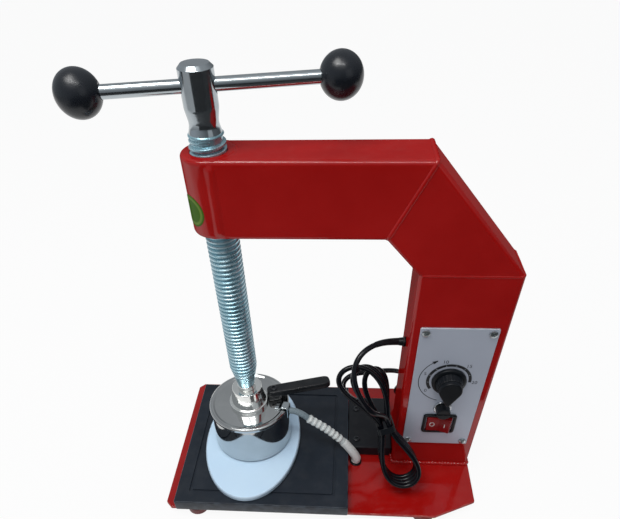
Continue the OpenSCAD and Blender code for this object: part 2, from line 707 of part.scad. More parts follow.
module heater_cover() color("silver") at_frame() difference() {
  rotate_extrude() difference() {
    polygon([[0, z_rim - rim_h], [rim_r, z_rim - rim_h], [rim_r, z_rim], [rim_r - cover_rise, z_rim + skin_t],
      [rim_r - 3 * cover_rise, z_cover + skin_t], [0, z_cover + skin_t]]);
    polygon([[0, z_rim - rim_h - cut], [rim_r - skin_t, z_rim - rim_h - cut], [rim_r - skin_t, z_rim],
      [rim_r - 3 * cover_rise, z_cover], [0, z_cover]]);
  }
  handle_line() translate([handle_screw_r, 0, z_cover - cut]) cylinder(h = skin_t + 2 * cut, d = pan_shank_d);
}

module heater_wall() color("silver") at_frame() rotate_extrude() polygon([[wall_r_low - skin_t, z_wall], [wall_r_low, z_wall],
  [wall_r_top, z_rim], [wall_r_top - skin_t, z_rim]]);

module heater_sole() color("lightgray") at_frame() translate([0, 0, z_sole])
  cylinder(h = sole_t, r = wall_r_low - (wall_r_low - wall_r_top) * sole_t / wall_h - skin_t - sole_gap);

module heater_element() color("gray") at_frame() translate([0, 0, z_coil]) cylinder(h = coil_t, r = coil_r);

module heater_disc() color("tan") at_frame() translate([0, 0, z_disc]) cylinder(h = disc_t, r = disc_r);

module heater_post() color("gray") at_frame() translate([0, 0, z_post]) cylinder(h = z_cover - z_post, r = post_r);

module handle_line() rotate([0, 0, handle_turn]) children();

handle_in_r = socket_flange_r + seat_gap;
handle_screw_r = handle_in_r + handle_foot_l / 2;
module heater_handle() color("black") at_frame() handle_line() difference() {
  handle_low = z_socket + handle_lift;
  edge = handle_h / 5;
  handle_len = handle_reach - handle_in_r;
  intersection() {
    side_slab([[handle_in_r, z_socket], [handle_in_r + handle_foot_l, z_socket], [handle_in_r + handle_foot_l + edge, handle_low],
      [handle_reach - edge, handle_low], [handle_reach, handle_low + edge], [handle_reach, handle_low + handle_h - edge],
      [handle_reach - edge, handle_low + handle_h], [handle_in_r + edge, handle_low + handle_h],
      [handle_in_r, handle_low + handle_h - edge]], handle_w + 2 * cut);
    translate([handle_in_r + handle_len / 2, 0, z_socket - cut])
      linear_extrude(handle_lift + handle_h + 2 * cut) round_rect(handle_len, handle_w, handle_w / 4);
  }
  translate([handle_screw_r, 0, z_socket - cut]) cylinder(h = handle_lift + handle_h + 2 * cut, d = pan_shank_d);
}

module handle_screw() color("silver") at_frame() handle_line()
  translate([handle_screw_r, 0, z_socket + handle_lift + handle_h]) pan_screw(handle_lift + handle_h + skin_t);

module lead_clip() color("silver") at_frame() rotate([0, 0, -clip_turn]) {
  clip_low = lead_start[2] - lead_d;
  translate([clip_out_r - skin_t, -clip_w / 2, clip_low]) cube([skin_t, clip_w, z_socket + skin_t - clip_low]);
  translate([rim_r - 3 * cover_rise - clip_tab, -clip_w / 2, z_socket])
    cube([clip_out_r - skin_t - rim_r + 3 * cover_rise + clip_tab, clip_w, skin_t]);
}

sleeve_rings = smooth(sleeve_route, 4);
module lead_sleeve() color("lightsteelblue") at_frame()
  tube(sleeve_rings, [for (p = sleeve_rings) lead_d / 2], 10, [0, 1, 0]);

// The boot's ribs swell on its outer half; its root runs plain to the grommet
boot_rings = smooth(boot_route, boot_ribs);
function boot_radius(s) = s < 0.55 ? boot_d / 2 - (floor(s / 0.55 * 2 * boot_ribs) % 2) * 0.9
  : boot_d / 2 + (boot_root_d - boot_d) / 2 * (s - 0.55) / 0.45;
module lead_boot() color("white") at_frame()
  tube(boot_rings, [for (i = [0 : len(boot_rings) - 1]) boot_radius(i / (len(boot_rings) - 1))], 10, [0, 1, 0]);

module lead_grommet() color("black") at_frame() translate(grommet_at) {
  cylinder(h = grommet_h, d = grommet_d);
  translate([0, 0, -base_t]) cylinder(h = base_t, d = lead_d);
}

module control_panel() color("silver") at_frame() difference() {
  translate([panel_x - panel_w / 2, face_y, panel_low]) cube([panel_w, panel_t, panel_h]);
  panel_screw_places() translate([0, 0, -panel_t - cut]) cylinder(h = panel_t + 2 * cut, d = pan_shank_d);
  panel_place(knob_z) translate([0, 0, -panel_t - cut]) cylinder(h = panel_t + 2 * cut, d = shaft_d + 4);
  panel_place(fuse_z) translate([0, 0, -panel_t - cut]) cylinder(h = panel_t + 2 * cut, d = fuse_body_d);
  panel_place(switch_z) translate([0, 0, -panel_t / 2]) cube([bezel_w - bezel_rim, bezel_h - bezel_rim, panel_t + 2 * cut], center = true);
}

module panel_screws() color("silver") at_frame() panel_screw_places() pan_screw(panel_t + tube_wall);

module timer_body() color("gray") at_frame() panel_place(knob_z) difference() {
  translate([-timer_w / 2, -timer_w / 2, -panel_t - timer_t]) cube([timer_w, timer_w, timer_t]);
  translate([0, 0, -panel_t - shaft_in]) cylinder(h = shaft_in + cut, d = shaft_d + 2 * run_gap);
}

shaft_in = 8;
shaft_out = 9;
module timer_shaft() color("silver") at_frame() panel_place(knob_z)
  translate([0, 0, seat_gap - panel_t - shaft_in]) cylinder(h = shaft_in + panel_t + shaft_out - seat_gap, d = shaft_d);

skirt_h = 4;
knob_gap = 0.4;

// A round end and a small round tip below it, joined by the lines that touch both
module knob_pointer(round_r, tip_r) {
  lean = asin((round_r - tip_r) / pointer_reach);
  polygon(concat(
    [for (i = [0 : 24]) round_r * [cos(-lean + i / 24 * (180 + 2 * lean)), sin(-lean + i / 24 * (180 + 2 * lean))]],
    [for (i = [0 : 8]) [0, -pointer_reach] + tip_r * [cos(180 + lean + i / 8 * (180 - 2 * lean)), sin(180 + lean + i / 8 * (180 - 2 * lean))]]));
}

module timer_knob() color("black") at_frame() panel_place(knob_z) difference() {
  union() {
    translate([0, 0, knob_gap]) cylinder(h = skirt_h, d = knob_d);
    translate([0, 0, knob_gap]) cylinder(h = knob_h * 0.75, d1 = knob_d * 0.8, d2 = knob_d * 0.7);
    translate([0, 0, knob_gap]) linear_extrude(knob_h) knob_pointer(knob_d / 3, knob_d / 14);
  }
  translate([0, 0, -cut]) cylinder(h = shaft_out + cut, d = shaft_d);
}

fuse_flange_h = 2;
module fuse_holder() color("black") at_frame() panel_place(fuse_z) {
  cylinder(h = fuse_flange_h, d = fuse_d);
  translate([0, 0, -panel_t - switch_depth]) cylinder(h = panel_t + switch_depth, d = fuse_body_d);
}

module fuse_cap() color("black") at_frame() panel_place(fuse_z) translate([0, 0, fuse_flange_h + seat_gap]) difference() {
  cylinder(h = fuse_cap_h, d = fuse_cap_d);
  translate([-fuse_cap_d / 2 - cut, -0.8, fuse_cap_h - 1.2]) cube([fuse_cap_d + 2 * cut, 1.6, 2 * cut]);
}

module switch_housing() color("black") at_frame() panel_place(switch_z) difference() {
  union() {
    translate([-bezel_w / 2, -bezel_h / 2, 0]) cube([bezel_w, bezel_h, bezel_t]);
    translate([-(bezel_w - bezel_rim) / 2, -(bezel_h - bezel_rim) / 2, -panel_t - switch_depth])
      cube([bezel_w - bezel_rim, bezel_h - bezel_rim, panel_t + switch_depth]);
  }
  translate([-bezel_w / 2 + bezel_rim, -bezel_h / 2 + bezel_rim, -rocker_pit])
    cube([bezel_w - 2 * bezel_rim, bezel_h - 2 * bezel_rim, rocker_pit + bezel_t + cut]);
}

// The rocker turns about an upright pin line below the bezel: its flanks are an arc round that
// line, so they stay clear of the bezel at both tilts, and its face is a shallow V
rocker_pit = 9;
rocker_pin_deep = 2;
module switch_rocker() color("red") at_frame() panel_place(switch_z) translate([0, 0, -rocker_pin_deep])
  rotate([0, -rocker_tilt, 0]) rotate([90, 0, 0])
    linear_extrude(bezel_h - 2 * bezel_rim - 2 * rocker_gap, center = true) intersection() {
      circle(bezel_w / 2 - bezel_rim - rocker_gap);
      polygon([[-bezel_w, bezel_w * tan(rocker_tilt) + rocker_low], [0, rocker_low], [bezel_w, bezel_w * tan(rocker_tilt) + rocker_low],
        [bezel_w, -rocker_pin_deep], [-bezel_w, -rocker_pin_deep]]);
    }
rocker_low = rocker_pin_deep + bezel_t + 0.3;

module cord_gland() color("black") at_frame() translate([throat, 0, gland_up]) rotate([0, -90, 0]) {
  cylinder(h = gland_nut_l, d = gland_d, $fn = 6);
  translate([0, 0, gland_nut_l]) cylinder(h = gland_sleeve_l, d1 = gland_sleeve_d, d2 = cord_d + 2);
  translate([0, 0, -tube_wall]) cylinder(h = tube_wall, d = cord_d + 2 * run_gap);
}

cord_end = hank_path[0];
cord_rings = smooth(concat(cord_route, [[115, -43, 117], [125, -45, 105], cord_end + hank_long * 2 * cord_d, cord_end + hank_long * cord_d, cord_end]), 4);
module power_cord() color("black") at_frame() tube(cord_rings, [for (p = cord_rings) cord_d / 2], 8, [0, 1, 0.3]);

module cord_hank() color("black") at_frame() tube(hank_path, [for (p = hank_path) cord_d / 2], 6, hank_deep);

hank_end = hank_path[len(hank_path) - 1];
tail_rings = smooth(concat([hank_end, hank_end + hank_long * cord_d], tail_route), 4);
module cord_tail() color("black") at_frame() tube(tail_rings, [for (p = tail_rings) cord_d / 2], 8, hank_deep);

// A flat band round the hank's waist, square to its long direction, with room for the loops' spread
tie_gap = 0.9;
module cord_tie() color("black") at_frame() {
  half_x = waist_half_w + cord_d / 2 + tie_gap;
  half_y = hank_step * hank_turns / 2 + cord_d / 2 + tie_gap;
  multmatrix([[hank_wide[0], hank_deep[0], -hank_long[0], hank_mid[0]], [hank_wide[1], hank_deep[1], -hank_long[1], hank_mid[1]],
    [hank_wide[2], hank_deep[2], -hank_long[2], hank_mid[2]], [0, 0, 0, 1]])
    linear_extrude(tie_w, center = true) difference() {
      round_rect(2 * (half_x + tie_t), 2 * (half_y + tie_t), cord_d / 2 + tie_t);
      round_rect(2 * half_x, 2 * half_y, cord_d / 2);
    }
}

plug_neck_l = 8;
module plug_body() color("black") at_frame() translate(plug_at) rotate([90, 0, 90]) {
  cylinder(h = plug_neck_l, d = cord_d + 4);
  translate([0, 0, plug_neck_l]) linear_extrude(plug_l - plug_neck_l) round_rect(plug_w, plug_h, plug_h / 3);
}

module plug_pins() color("gold") at_frame() translate(plug_at + [plug_l, 0, 0])
  for (y = [-1, 1]) translate([0, y * pin_pitch / 2, 0]) rotate([0, 90, 0]) cylinder(h = pin_l, d = pin_d);

base_plate();
feet();
foot_bolts();
column();
diagonal();
arm();
screw_boss();
boss_sticker();
lower_platen();
platen_element();
platen_sheet();
platen_bolts();
terminal_cover();
cover_screws();
press_screw();
tommy_bar();
bar_balls();
swivel_ring();
thrust_washer();
press_plate();
heater_socket();
heater_cover();
heater_wall();
heater_sole();
heater_element();
heater_disc();
heater_post();
heater_handle();
handle_screw();
lead_clip();
lead_sleeve();
lead_boot();
lead_grommet();
control_panel();
panel_screws();
timer_body();
timer_shaft();
timer_knob();
fuse_holder();
fuse_cap();
switch_housing();
switch_rocker();
cord_gland();
power_cord();
cord_hank();
cord_tie();
cord_tail();
plug_body();
plug_pins();
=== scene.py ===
import math

import bmesh
import bpy
import numpy as np
from mathutils import Matrix, Vector


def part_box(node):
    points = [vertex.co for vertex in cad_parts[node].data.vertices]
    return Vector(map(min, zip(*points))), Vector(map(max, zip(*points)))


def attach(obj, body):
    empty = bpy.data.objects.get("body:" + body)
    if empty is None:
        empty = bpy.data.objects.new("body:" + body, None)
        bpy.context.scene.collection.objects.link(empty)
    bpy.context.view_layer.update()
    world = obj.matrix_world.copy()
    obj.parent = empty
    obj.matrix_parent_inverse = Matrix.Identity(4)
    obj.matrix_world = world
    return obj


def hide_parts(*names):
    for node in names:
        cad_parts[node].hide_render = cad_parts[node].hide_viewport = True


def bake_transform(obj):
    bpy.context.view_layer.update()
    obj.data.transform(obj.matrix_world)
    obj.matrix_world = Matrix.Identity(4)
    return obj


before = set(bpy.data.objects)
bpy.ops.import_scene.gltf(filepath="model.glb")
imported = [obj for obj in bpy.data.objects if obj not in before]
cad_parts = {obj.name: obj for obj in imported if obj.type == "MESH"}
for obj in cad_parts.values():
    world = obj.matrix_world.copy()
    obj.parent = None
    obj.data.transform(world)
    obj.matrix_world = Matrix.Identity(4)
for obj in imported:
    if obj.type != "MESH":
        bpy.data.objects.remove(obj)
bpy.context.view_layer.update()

# Base plate: one sheared piece of 4 mm steel with small corner cuts and a long cut at the
# front right, welded to the column and painted red with it. Its edges are broken by hand,
# and the paint is thin there.
screw_low, screw_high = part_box("press_screw")
_, plate_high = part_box("base_plate")
# The screw's axis where it meets the top of the base plate, in metres
AXIS_FOOT = np.array([(screw_low.x + screw_high.x) / 2, (screw_low.y + screw_high.y) / 2, plate_high.z])
MM = 0.001
RIGHT, BACK, UP = np.eye(3)
# Distance from an edge to the row of points that keeps the face beside it flat
SUPPORT = 0.25


def unit(v):
    """The direction of v, with length one."""
    v = np.asarray(v, float)
    return v / np.linalg.norm(v, axis=-1, keepdims=True)


def to_frame(points):
    """Points in millimetres from AXIS_FOOT, as metres in the shared frame."""
    return np.asarray(points, float) * MM + AXIS_FOOT


def rays(angle):
    """The flat direction of each angle: its cosine and its sine."""
    return np.stack([np.cos(angle), np.sin(angle)], -1)


def circle(count):
    """Directions that are spread evenly over one turn."""
    return rays(np.arange(count) * 2 * np.pi / count)


def at_height(flat, height):
    """Flat points with their height as a third coordinate."""
    return np.concatenate([flat, np.broadcast_to(height, flat.shape[:-1] + (1,))], -1)


def turned(grid, axes):
    """A grid in local coordinates, laid along the three directions from the given point."""
    if axes is None:
        return grid
    origin, x_way, y_way, z_way = (np.asarray(v, float) for v in axes)
    return origin + grid[..., :1] * x_way + grid[..., 1:2] * y_way + grid[..., 2:] * z_way


def capped(rows, ends=None):
    """Patch of closed rows, shut at each end by a row in one point: the given point, or else the
    mean of the end row."""
    ends = rows[[0, -1]].mean(1) if ends is None else ends
    first, last = (np.broadcast_to(end, (1, *rows.shape[1:])) for end in ends)
    return np.concatenate([first, rows, last]), False, True


def rounded_outline(corners, radius, steps=5):
    """Closed outline whose corners are arcs, with the outward direction at each point.

    At each corner the arc's centre lies on the corner's bisector, at the distance where a
    circle of the radius touches both sides, and the arc runs from one side's outward
    direction to the other's. A point a little along each side keeps the sides flat."""
    corners = np.asarray(corners, float)
    radius = np.broadcast_to(np.asarray(radius, float), len(corners))[:, None, None]
    sides = corners - np.roll(corners, 1, 0)
    before = unit(sides)
    after = np.roll(before, -1, 0)
    out_before, out_after = (way[:, ::-1] * (1, -1) for way in (before, after))
    start = np.arctan2(out_before[:, 1], out_before[:, 0])
    sweep = (np.arctan2(out_after[:, 1], out_after[:, 0]) - start + np.pi) % (2 * np.pi) - np.pi
    reach = radius[:, :, 0] / (1 + np.sum(out_before * out_after, 1, keepdims=True))
    centre = corners - (out_before + out_after) * reach
    outward = rays(start[:, None] + sweep[:, None] * np.linspace(0, 1, steps + 1))
    points = centre[:, None] + radius * outward
    lead = np.minimum(SUPPORT, 0.1 * np.linalg.norm(sides, axis=1))[:, None]
    first, last = points[:, 0] - before * lead, points[:, -1] + after * np.roll(lead, -1, 0)
    points = np.concatenate([first[:, None], points, last[:, None]], 1)
    outward = np.concatenate([outward[:, :1], outward, outward[:, -1:]], 1)
    return points.reshape(-1, 2), outward.reshape(-1, 2)


def rounded_box_outline(width, height, radius, steps=5):
    """Rounded rectangle about the origin, drawn anticlockwise."""
    w, h = width / 2, height / 2
    return rounded_outline([(-w, -h), (w, -h), (w, h), (-w, h)], radius, steps)


def edge_profile(low, high, edge, steps=4):
    """Rows of (inset, height) for a plate with rounded edges: a quarter circle at the lower
    and the upper edge, and one more row inside each, so that the flat faces stay flat."""
    turn = np.linspace(0, np.pi / 2, steps + 1)
    upper = np.stack([edge - edge * np.cos(turn), high - edge + edge * np.sin(turn)], 1)
    lower = np.stack([upper[:, 0], low + high - upper[:, 1]], 1)[::-1]
    inner = edge + SUPPORT
    return np.concatenate([[[inner, low]], lower, upper, [[inner, high]]])


def plate_patch(outline, profile, axes=None):
    """Closed solid from an outline and rows of (inset, height): each row is the outline moved
    inwards by the inset and set at the height, and the first and last rows close to a point."""
    points, outward = outline
    inset, height = np.asarray(profile, float).T[:, :, None, None]
    rows = at_height(points - inset * outward, height)
    middle = (points.min(0) + points.max(0)) / 2
    ends = at_height(np.stack([middle, middle]), height[[0, -1], 0])
    return capped(turned(rows, axes), turned(ends, axes))


def edge_rows(marked):
    """Edge mark of a plate: one value for each row of its profile, and none for its ends."""
    return np.concatenate([[0], marked, [0]])[:, None]


def make_mesh(name, patches, edge=None, sharp=35):
    """Mesh of one or more patches. A patch is a grid of points and whether its rows and its
    columns close on themselves; the quads join neighbours on the grid, coinciding points are
    merged, and the faces are turned outwards. The UV map holds the row and column numbers."""
    points, quads, marks, places = [], [], [], []
    offset = 0
    for number, (grid, wrap_rows, wrap_columns) in enumerate(patches):
        rows, columns = grid.shape[:2]
        down, along = rows - (not wrap_rows), columns - (not wrap_columns)
        r, c = np.meshgrid(np.arange(down), np.arange(along), indexing="ij")
        corner_r, corner_c = np.stack([r, r, r + 1, r + 1], -1), np.stack([c, c + 1, c + 1, c], -1)
        quads.append((corner_r % rows * columns + corner_c % columns).reshape(-1, 4) + offset)
        places.append(np.stack([corner_c / along, corner_r / down], -1).reshape(-1, 2))
        points.append(to_frame(grid).reshape(-1, 3))
        marks.append(np.broadcast_to(0 if edge is None else edge[number], (rows, columns)).ravel())
        offset += rows * columns
    points, quads = np.concatenate(points), np.concatenate(quads)
    mesh = bpy.data.meshes.new(name)
    mesh.vertices.add(len(points))
    mesh.vertices.foreach_set("co", points.astype(np.float32).ravel())
    mesh.loops.add(quads.size)
    mesh.loops.foreach_set("vertex_index", quads.astype(np.int32).ravel())
    mesh.polygons.add(len(quads))
    mesh.polygons.foreach_set("loop_start", np.arange(0, quads.size, 4, dtype=np.int32))
    mesh.update(calc_edges=True)
    mesh.uv_layers.new(name="run").uv.foreach_set("vector",
                                                  np.concatenate(places).astype(np.float32).ravel())
    mark = mesh.attributes.new("edge", "FLOAT", "POINT")
    mark.data.foreach_set("value", np.concatenate(marks).astype(np.float32))
    work = bmesh.new()
    work.from_mesh(mesh)
    bmesh.ops.remove_doubles(work, verts=work.verts, dist=2e-6)
    bmesh.ops.recalc_face_normals(work, faces=work.faces)
    work.to_mesh(mesh)
    work.free()
    mesh.shade_smooth()
    mesh.set_sharp_from_angle(angle=math.radians(sharp))
    return mesh


def add_object(name, data):
    """A new object in the scene."""
    made = bpy.data.objects.new(name, data)
    bpy.context.scene.collection.objects.link(made)
    return made


def add_piece(name, shape, finish, slot, body, *nodes, **options):
    """Object for a list of patches or a mesh, with its material, the record's slot (not used), the
    body it rides on (None where it is blended between two) and the CAD nodes it stands for."""
    mesh = make_mesh(name, shape, **options) if isinstance(shape, list) else shape
    mesh.materials.append(finish)
    made = add_object(name, mesh)
    if body:
        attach(made, body)
    if nodes:
        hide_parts(*nodes)
    return made


def feed(tree, node, inputs):
    """Links or values for a node's named or numbered inputs."""
    for key, value in inputs.items():
        if isinstance(value, bpy.types.NodeSocket):
            tree.links.new(value, node.inputs[key])
        else:
            node.inputs[key].default_value = value


def add_node(tree, kind, inputs=None, **settings):
    """A new shader node with its settings and inputs; gives back its outputs."""
    made = tree.nodes.new("ShaderNode" + kind)
    for key, value in settings.items():
        setattr(made, key, value)
    feed(tree, made, inputs or {})
    return made.outputs


def worked(tree, operation, *values):
    """Result of an operation on one or two values."""
    return add_node(tree, "Math", dict(enumerate(values)), operation=operation)["Value"]


def ranged(tree, value, low, high, first=0.0, last=1.0):
    """A value that goes from first to last while the given one goes from low to high."""
    limits = {"From Min": low, "From Max": high, "To Min": first, "To Max": last}
    return add_node(tree, "MapRange", {"Value": value, **limits})["Result"]


def noise(tree, place, scale, detail):
    """Soft random pattern of a scale and a number of finer layers."""
    return add_node(tree, "TexNoise", {"Vector": place, "Scale": scale, "Detail": detail})["Fac"]


def mix_colour(tree, share, first, second):
    """Colour between first and second by share."""
    return add_node(tree, "Mix", {0: share, 6: first, 7: second}, data_type="RGBA")[2]


def make_group(name, build, results, **numbers):
    """Shader node group that takes a place and some numbers, and gives the results that build
    makes of them."""
    group = bpy.data.node_groups.new(name, "ShaderNodeTree")
    group.interface.new_socket("Vector", in_out="INPUT", socket_type="NodeSocketVector")
    for label, value in numbers.items():
        group.interface.new_socket(label, in_out="INPUT",
                                   socket_type="NodeSocketFloat").default_value = value
    for label in results:
        group.interface.new_socket(label, in_out="OUTPUT", socket_type="NodeSocketFloat")
    given = group.nodes.new("NodeGroupInput").outputs
    made = build(group, *(given[label] for label in ("Vector", *numbers)))
    feed(group, group.nodes.new("NodeGroupOutput"), dict(zip(results, made)))
    return group


def vary(tree, place, broad, fine):
    """Slow and fine changes over a surface: two noises of different scale give a tone from 0
    to 1, a mottled value and a fine height."""
    tone = ranged(tree, noise(tree, place, broad, 4.0), 0.3, 0.7)
    grain = noise(tree, place, fine, 2.0)
    return tone, worked(tree, "MULTIPLY", tone, grain), grain


def wear_off(tree, place, edge, breaks):
    """Edge wear: the edge mark of the mesh, broken up by noise, as a mask from 0 to 1."""
    broken = ranged(tree, noise(tree, place, breaks, 5.0), 0.42, 0.62)
    return [worked(tree, "MULTIPLY", broken, edge)]


def settle(tree, place, amount):
    """Dust on faces that look up: the upward share of the normal, broken by noise, as a mask."""
    normal = add_node(tree, "NewGeometry")["Normal"]
    upward = ranged(tree, add_node(tree, "SeparateXYZ", {0: normal})["Z"], 0.55, 1.0)
    grains = ranged(tree, noise(tree, place, 90.0, 8.0), 0.45, 0.75)
    return [worked(tree, "MULTIPLY", worked(tree, "MULTIPLY", upward, grains), amount)]


variation = make_group("surface_variation", vary, ["Tone", "Mottle", "Height"], Broad=20.0, Fine=600.0)
edge_wear = make_group("edge_wear", wear_off, ["Mask"], Edge=0.0, Break=120.0)
settled_dust = make_group("settled_dust", settle, ["Mask"], Amount=0.1)
DUST_COLOUR = (0.42, 0.40, 0.37, 1)


def new_material(name):
    """A new material, its node tree and its main shader."""
    material = bpy.data.materials.new(name)
    material.use_nodes = True
    return material, material.node_tree, material.node_tree.nodes["Principled BSDF"]


def make_finish(name, dark, light, rough, metal=0.0, broad=20.0, fine=600.0, bump=0.05, worn=None, wear=0.0,
                dust=0.0, shine=0.5, edge_breaks=120.0):
    """Material of a painted, plated or moulded surface: colour between dark and light by the
    slow variation, another colour at marked edges, dusty on top, with roughness from the fine
    variation and a small bump."""
    material, tree, shader = new_material(name)
    place = {"Vector": add_node(tree, "TexCoord")["Object"]}
    change = add_node(tree, "Group", {**place, "Broad": broad, "Fine": fine}, node_tree=variation)
    colour = mix_colour(tree, change["Tone"], (*dark, 1), (*light, 1))
    if worn is not None:
        edge = add_node(tree, "Attribute", attribute_name="edge")["Fac"]
        if edge_breaks:
            breaks = {**place, "Edge": edge, "Break": edge_breaks}
            edge = add_node(tree, "Group", breaks, node_tree=edge_wear)["Mask"]
        colour = mix_colour(tree, worked(tree, "MULTIPLY", edge, wear), colour, (*worn, 1))
    if dust:
        mask = add_node(tree, "Group", {**place, "Amount": dust}, node_tree=settled_dust)["Mask"]
        colour = mix_colour(tree, mask, colour, DUST_COLOUR)
    relief = {"Height": change["Height"], "Strength": bump, "Distance": 0.0004}
    feed(tree, shader, {"Base Color": colour, "Roughness": ranged(tree, change["Mottle"], 0.0, 0.7, *rough),
                        "Normal": add_node(tree, "Bump", relief)["Normal"], "Metallic": metal,
                        "Specular IOR Level": shine})
    return material


def dull_at_glance(material):
    """The gloss gives way to the plain colour where the surface is seen at a flat angle: the
    share of a matt layer grows with one minus the cosine of the angle of view."""
    tree = material.node_tree
    shader = tree.nodes["Principled BSDF"]
    matt = add_node(tree, "BsdfDiffuse",
                    {"Color": shader.inputs["Base Color"].links[0].from_socket})["BSDF"]
    share = ranged(tree, add_node(tree, "LayerWeight", {"Blend": 0.5})["Facing"], 0.40, 0.75, 0.0, 0.95)
    blend = add_node(tree, "MixShader", {0: share, 1: shader.outputs["BSDF"], 2: matt})["Shader"]
    feed(tree, tree.nodes["Material Output"], {"Surface": blend})


red_paint = make_finish("red_paint", (0.300, 0.0035, 0.0028), (0.365, 0.0060, 0.0050), (0.06, 0.14),
                        fine=420.0, bump=0.035, worn=(0.50, 0.17, 0.13), wear=0.30, dust=0.015, shine=0.42)
dull_at_glance(red_paint)
BASE_LEFT, BASE_RIGHT, BASE_FRONT, BASE_BACK, BASE_T = -83, 233, -85, 92, 4
SMALL_CUT, LONG_CUT_X, LONG_CUT_Y = 6, 42, 19
base_corners = [(BASE_LEFT + SMALL_CUT, BASE_FRONT), (BASE_RIGHT - LONG_CUT_X, BASE_FRONT),
                (BASE_RIGHT, BASE_FRONT + LONG_CUT_Y), (BASE_RIGHT, BASE_BACK - SMALL_CUT),
                (BASE_RIGHT - SMALL_CUT, BASE_BACK), (BASE_LEFT + SMALL_CUT, BASE_BACK),
                (BASE_LEFT, BASE_BACK - SMALL_CUT), (BASE_LEFT, BASE_FRONT + SMALL_CUT)]
base_profile = edge_profile(-BASE_T, 0, 0.8)
add_piece("base_plate_skin", [plate_patch(rounded_outline(base_corners, 1.5), base_profile)], red_paint,
          "red_paint", "frame", "base_plate", edge=[edge_rows(base_profile[:, 0] < 0.75)])

# Feet: four turned and moulded feet, dark red, with a rounded lower edge and a cup for the
# bolt that holds them under the base plate.


def lathe_patch(profile, sides=72, axes=None):
    """Surface of revolution: each (radius, height) of the profile is carried round a circle."""
    radius, height = np.asarray(profile, float).T[:, :, None, None]
    return turned(at_height(radius * circle(sides), height), axes), False, True


def soft_profile(points, radius, steps=4):
    """Open line of points whose inner corners are arcs that touch both neighbours, with a
    point just outside each arc, so that straight stretches stay straight."""
    points = np.asarray(points, float)
    stretch = np.diff(points, axis=0)
    length = np.linalg.norm(stretch, axis=1)
    way_in, way_out = unit(stretch[:-1]), unit(stretch[1:])
    half = np.arccos(np.clip(np.sum(way_in * way_out, 1), -1, 1)) / 2
    reach = np.minimum(radius * np.tan(half), 0.45 * np.minimum(length[:-1], length[1:]))[:, None]
    corner = points[1:-1]
    share = np.linspace(0, 1, steps + 1)[None, :, None]
    start, end = (corner - reach * way_in)[:, None], (corner + reach * way_out)[:, None]
    arc = start * (1 - share) ** 2 + 2 * corner[:, None] * share * (1 - share) + end * share ** 2
    lead_in = start - 0.1 * reach[:, None] * way_in[:, None]
    lead_out = end + 0.1 * reach[:, None] * way_out[:, None]
    arcs = np.concatenate([lead_in, arc, lead_out], 1).reshape(-1, 2)
    return np.concatenate([points[:1], arcs, points[-1:]])


def upright(point):
    """Axes of the shared frame, at a point."""
    return point, RIGHT, BACK, UP


foot_red = make_finish("foot_red", (0.105, 0.010, 0.011), (0.150, 0.016, 0.016), (0.45, 0.62), fine=900.0,
                       bump=0.12, dust=0.12)
FOOT_H, FOOT_R, CUP_R, CUP_H = 10, 11, 4.5, 4
FEET_X, FEET_Y = (-52, 181), (-75, 82)
foot_profile = soft_profile([(0, 0), (FOOT_R, 0), (FOOT_R, -FOOT_H), (CUP_R, -FOOT_H),
                             (CUP_R, -FOOT_H + CUP_H), (0, -FOOT_H + CUP_H)], [0.5, 4, 0.6, 0.4])
feet = [lathe_patch(foot_profile, 48, upright((x, y, -BASE_T))) for x in FEET_X for y in FEET_Y]
add_piece("foot_set", feet, foot_red, "foot_rubber", "frame", "feet")

# Bolts below the plate: bright zinc-plated screws for the feet and the platen, kept as they
# are in the CAD and given their plating.
zinc_bolt = make_finish("zinc_bolt", (0.42, 0.46, 0.47), (0.60, 0.64, 0.65), (0.25, 0.45), metal=1.0,
                        fine=900.0)


def dress_node(node, finish):
    """Gives a CAD node that stays as it is its own material."""
    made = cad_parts[node]
    made.data.materials.clear()
    made.data.materials.append(finish)


for bolt_node in ("foot_bolts", "platen_bolts"):
    dress_node(bolt_node, zinc_bolt)

# Frame: three lengths of 40 mm deep box tube with rounded corners, cut square or on the
# mitre, welded to a C and painted red. The arm ends against the round boss of the screw.
TUBE_D, TUBE_WALL, TUBE_R, TUBE_IN_R = 40, 2.5, 3, 0.5
THROAT, COLUMN_W, COLUMN_H = 151.5, 80, 237
ARM_H, ARM_CLEAR, MITRE_X = 57, 266.5, 153.5
ARM_TOP = ARM_CLEAR + ARM_H
BOSS_R, boss_mid = TUBE_D / 2, ARM_CLEAR + ARM_H / 2
SLOPE = (THROAT + COLUMN_W - MITRE_X) / (ARM_TOP - COLUMN_H)
MITRE_IN_X = THROAT - (ARM_CLEAR - COLUMN_H) * SLOPE
SIDE_PARTS = 16


def tube_patch(width, middle, way, wide_way, start_plane, end_plane):
    """Box tube between two planes: its rounded section is carried along the way until each
    point meets the plane, outside first and back along the inside, so the wall is closed.
    Its flat sides are split. A plane is a point on it and the direction square to it."""
    outer, _ = rounded_box_outline(width, TUBE_D, TUBE_R, 6)
    inner, _ = rounded_box_outline(width - 2 * TUBE_WALL, TUBE_D - 2 * TUBE_WALL, TUBE_IN_R, 6)
    long_side = np.linalg.norm(np.roll(outer, -1, 0) - outer, axis=1) > 5
    parts = np.where(long_side, SIDE_PARTS, 1)
    place = np.concatenate([index + np.arange(count) / count for index, count in enumerate(parts)])
    loops = []
    for section, plane in ((outer, start_plane), (outer, end_plane), (inner, end_plane),
                           (inner, start_plane)):
        closed = np.concatenate([section, section[:1]])
        across, deep = (np.interp(place, np.arange(len(closed)), closed[:, axis])[:, None]
                        for axis in (0, 1))
        lines = middle + across * wide_way + deep * BACK
        point, square = plane
        loops.append(lines + ((point - lines) @ square / (way @ square))[:, None] * way)
    return np.stack(loops), True, True


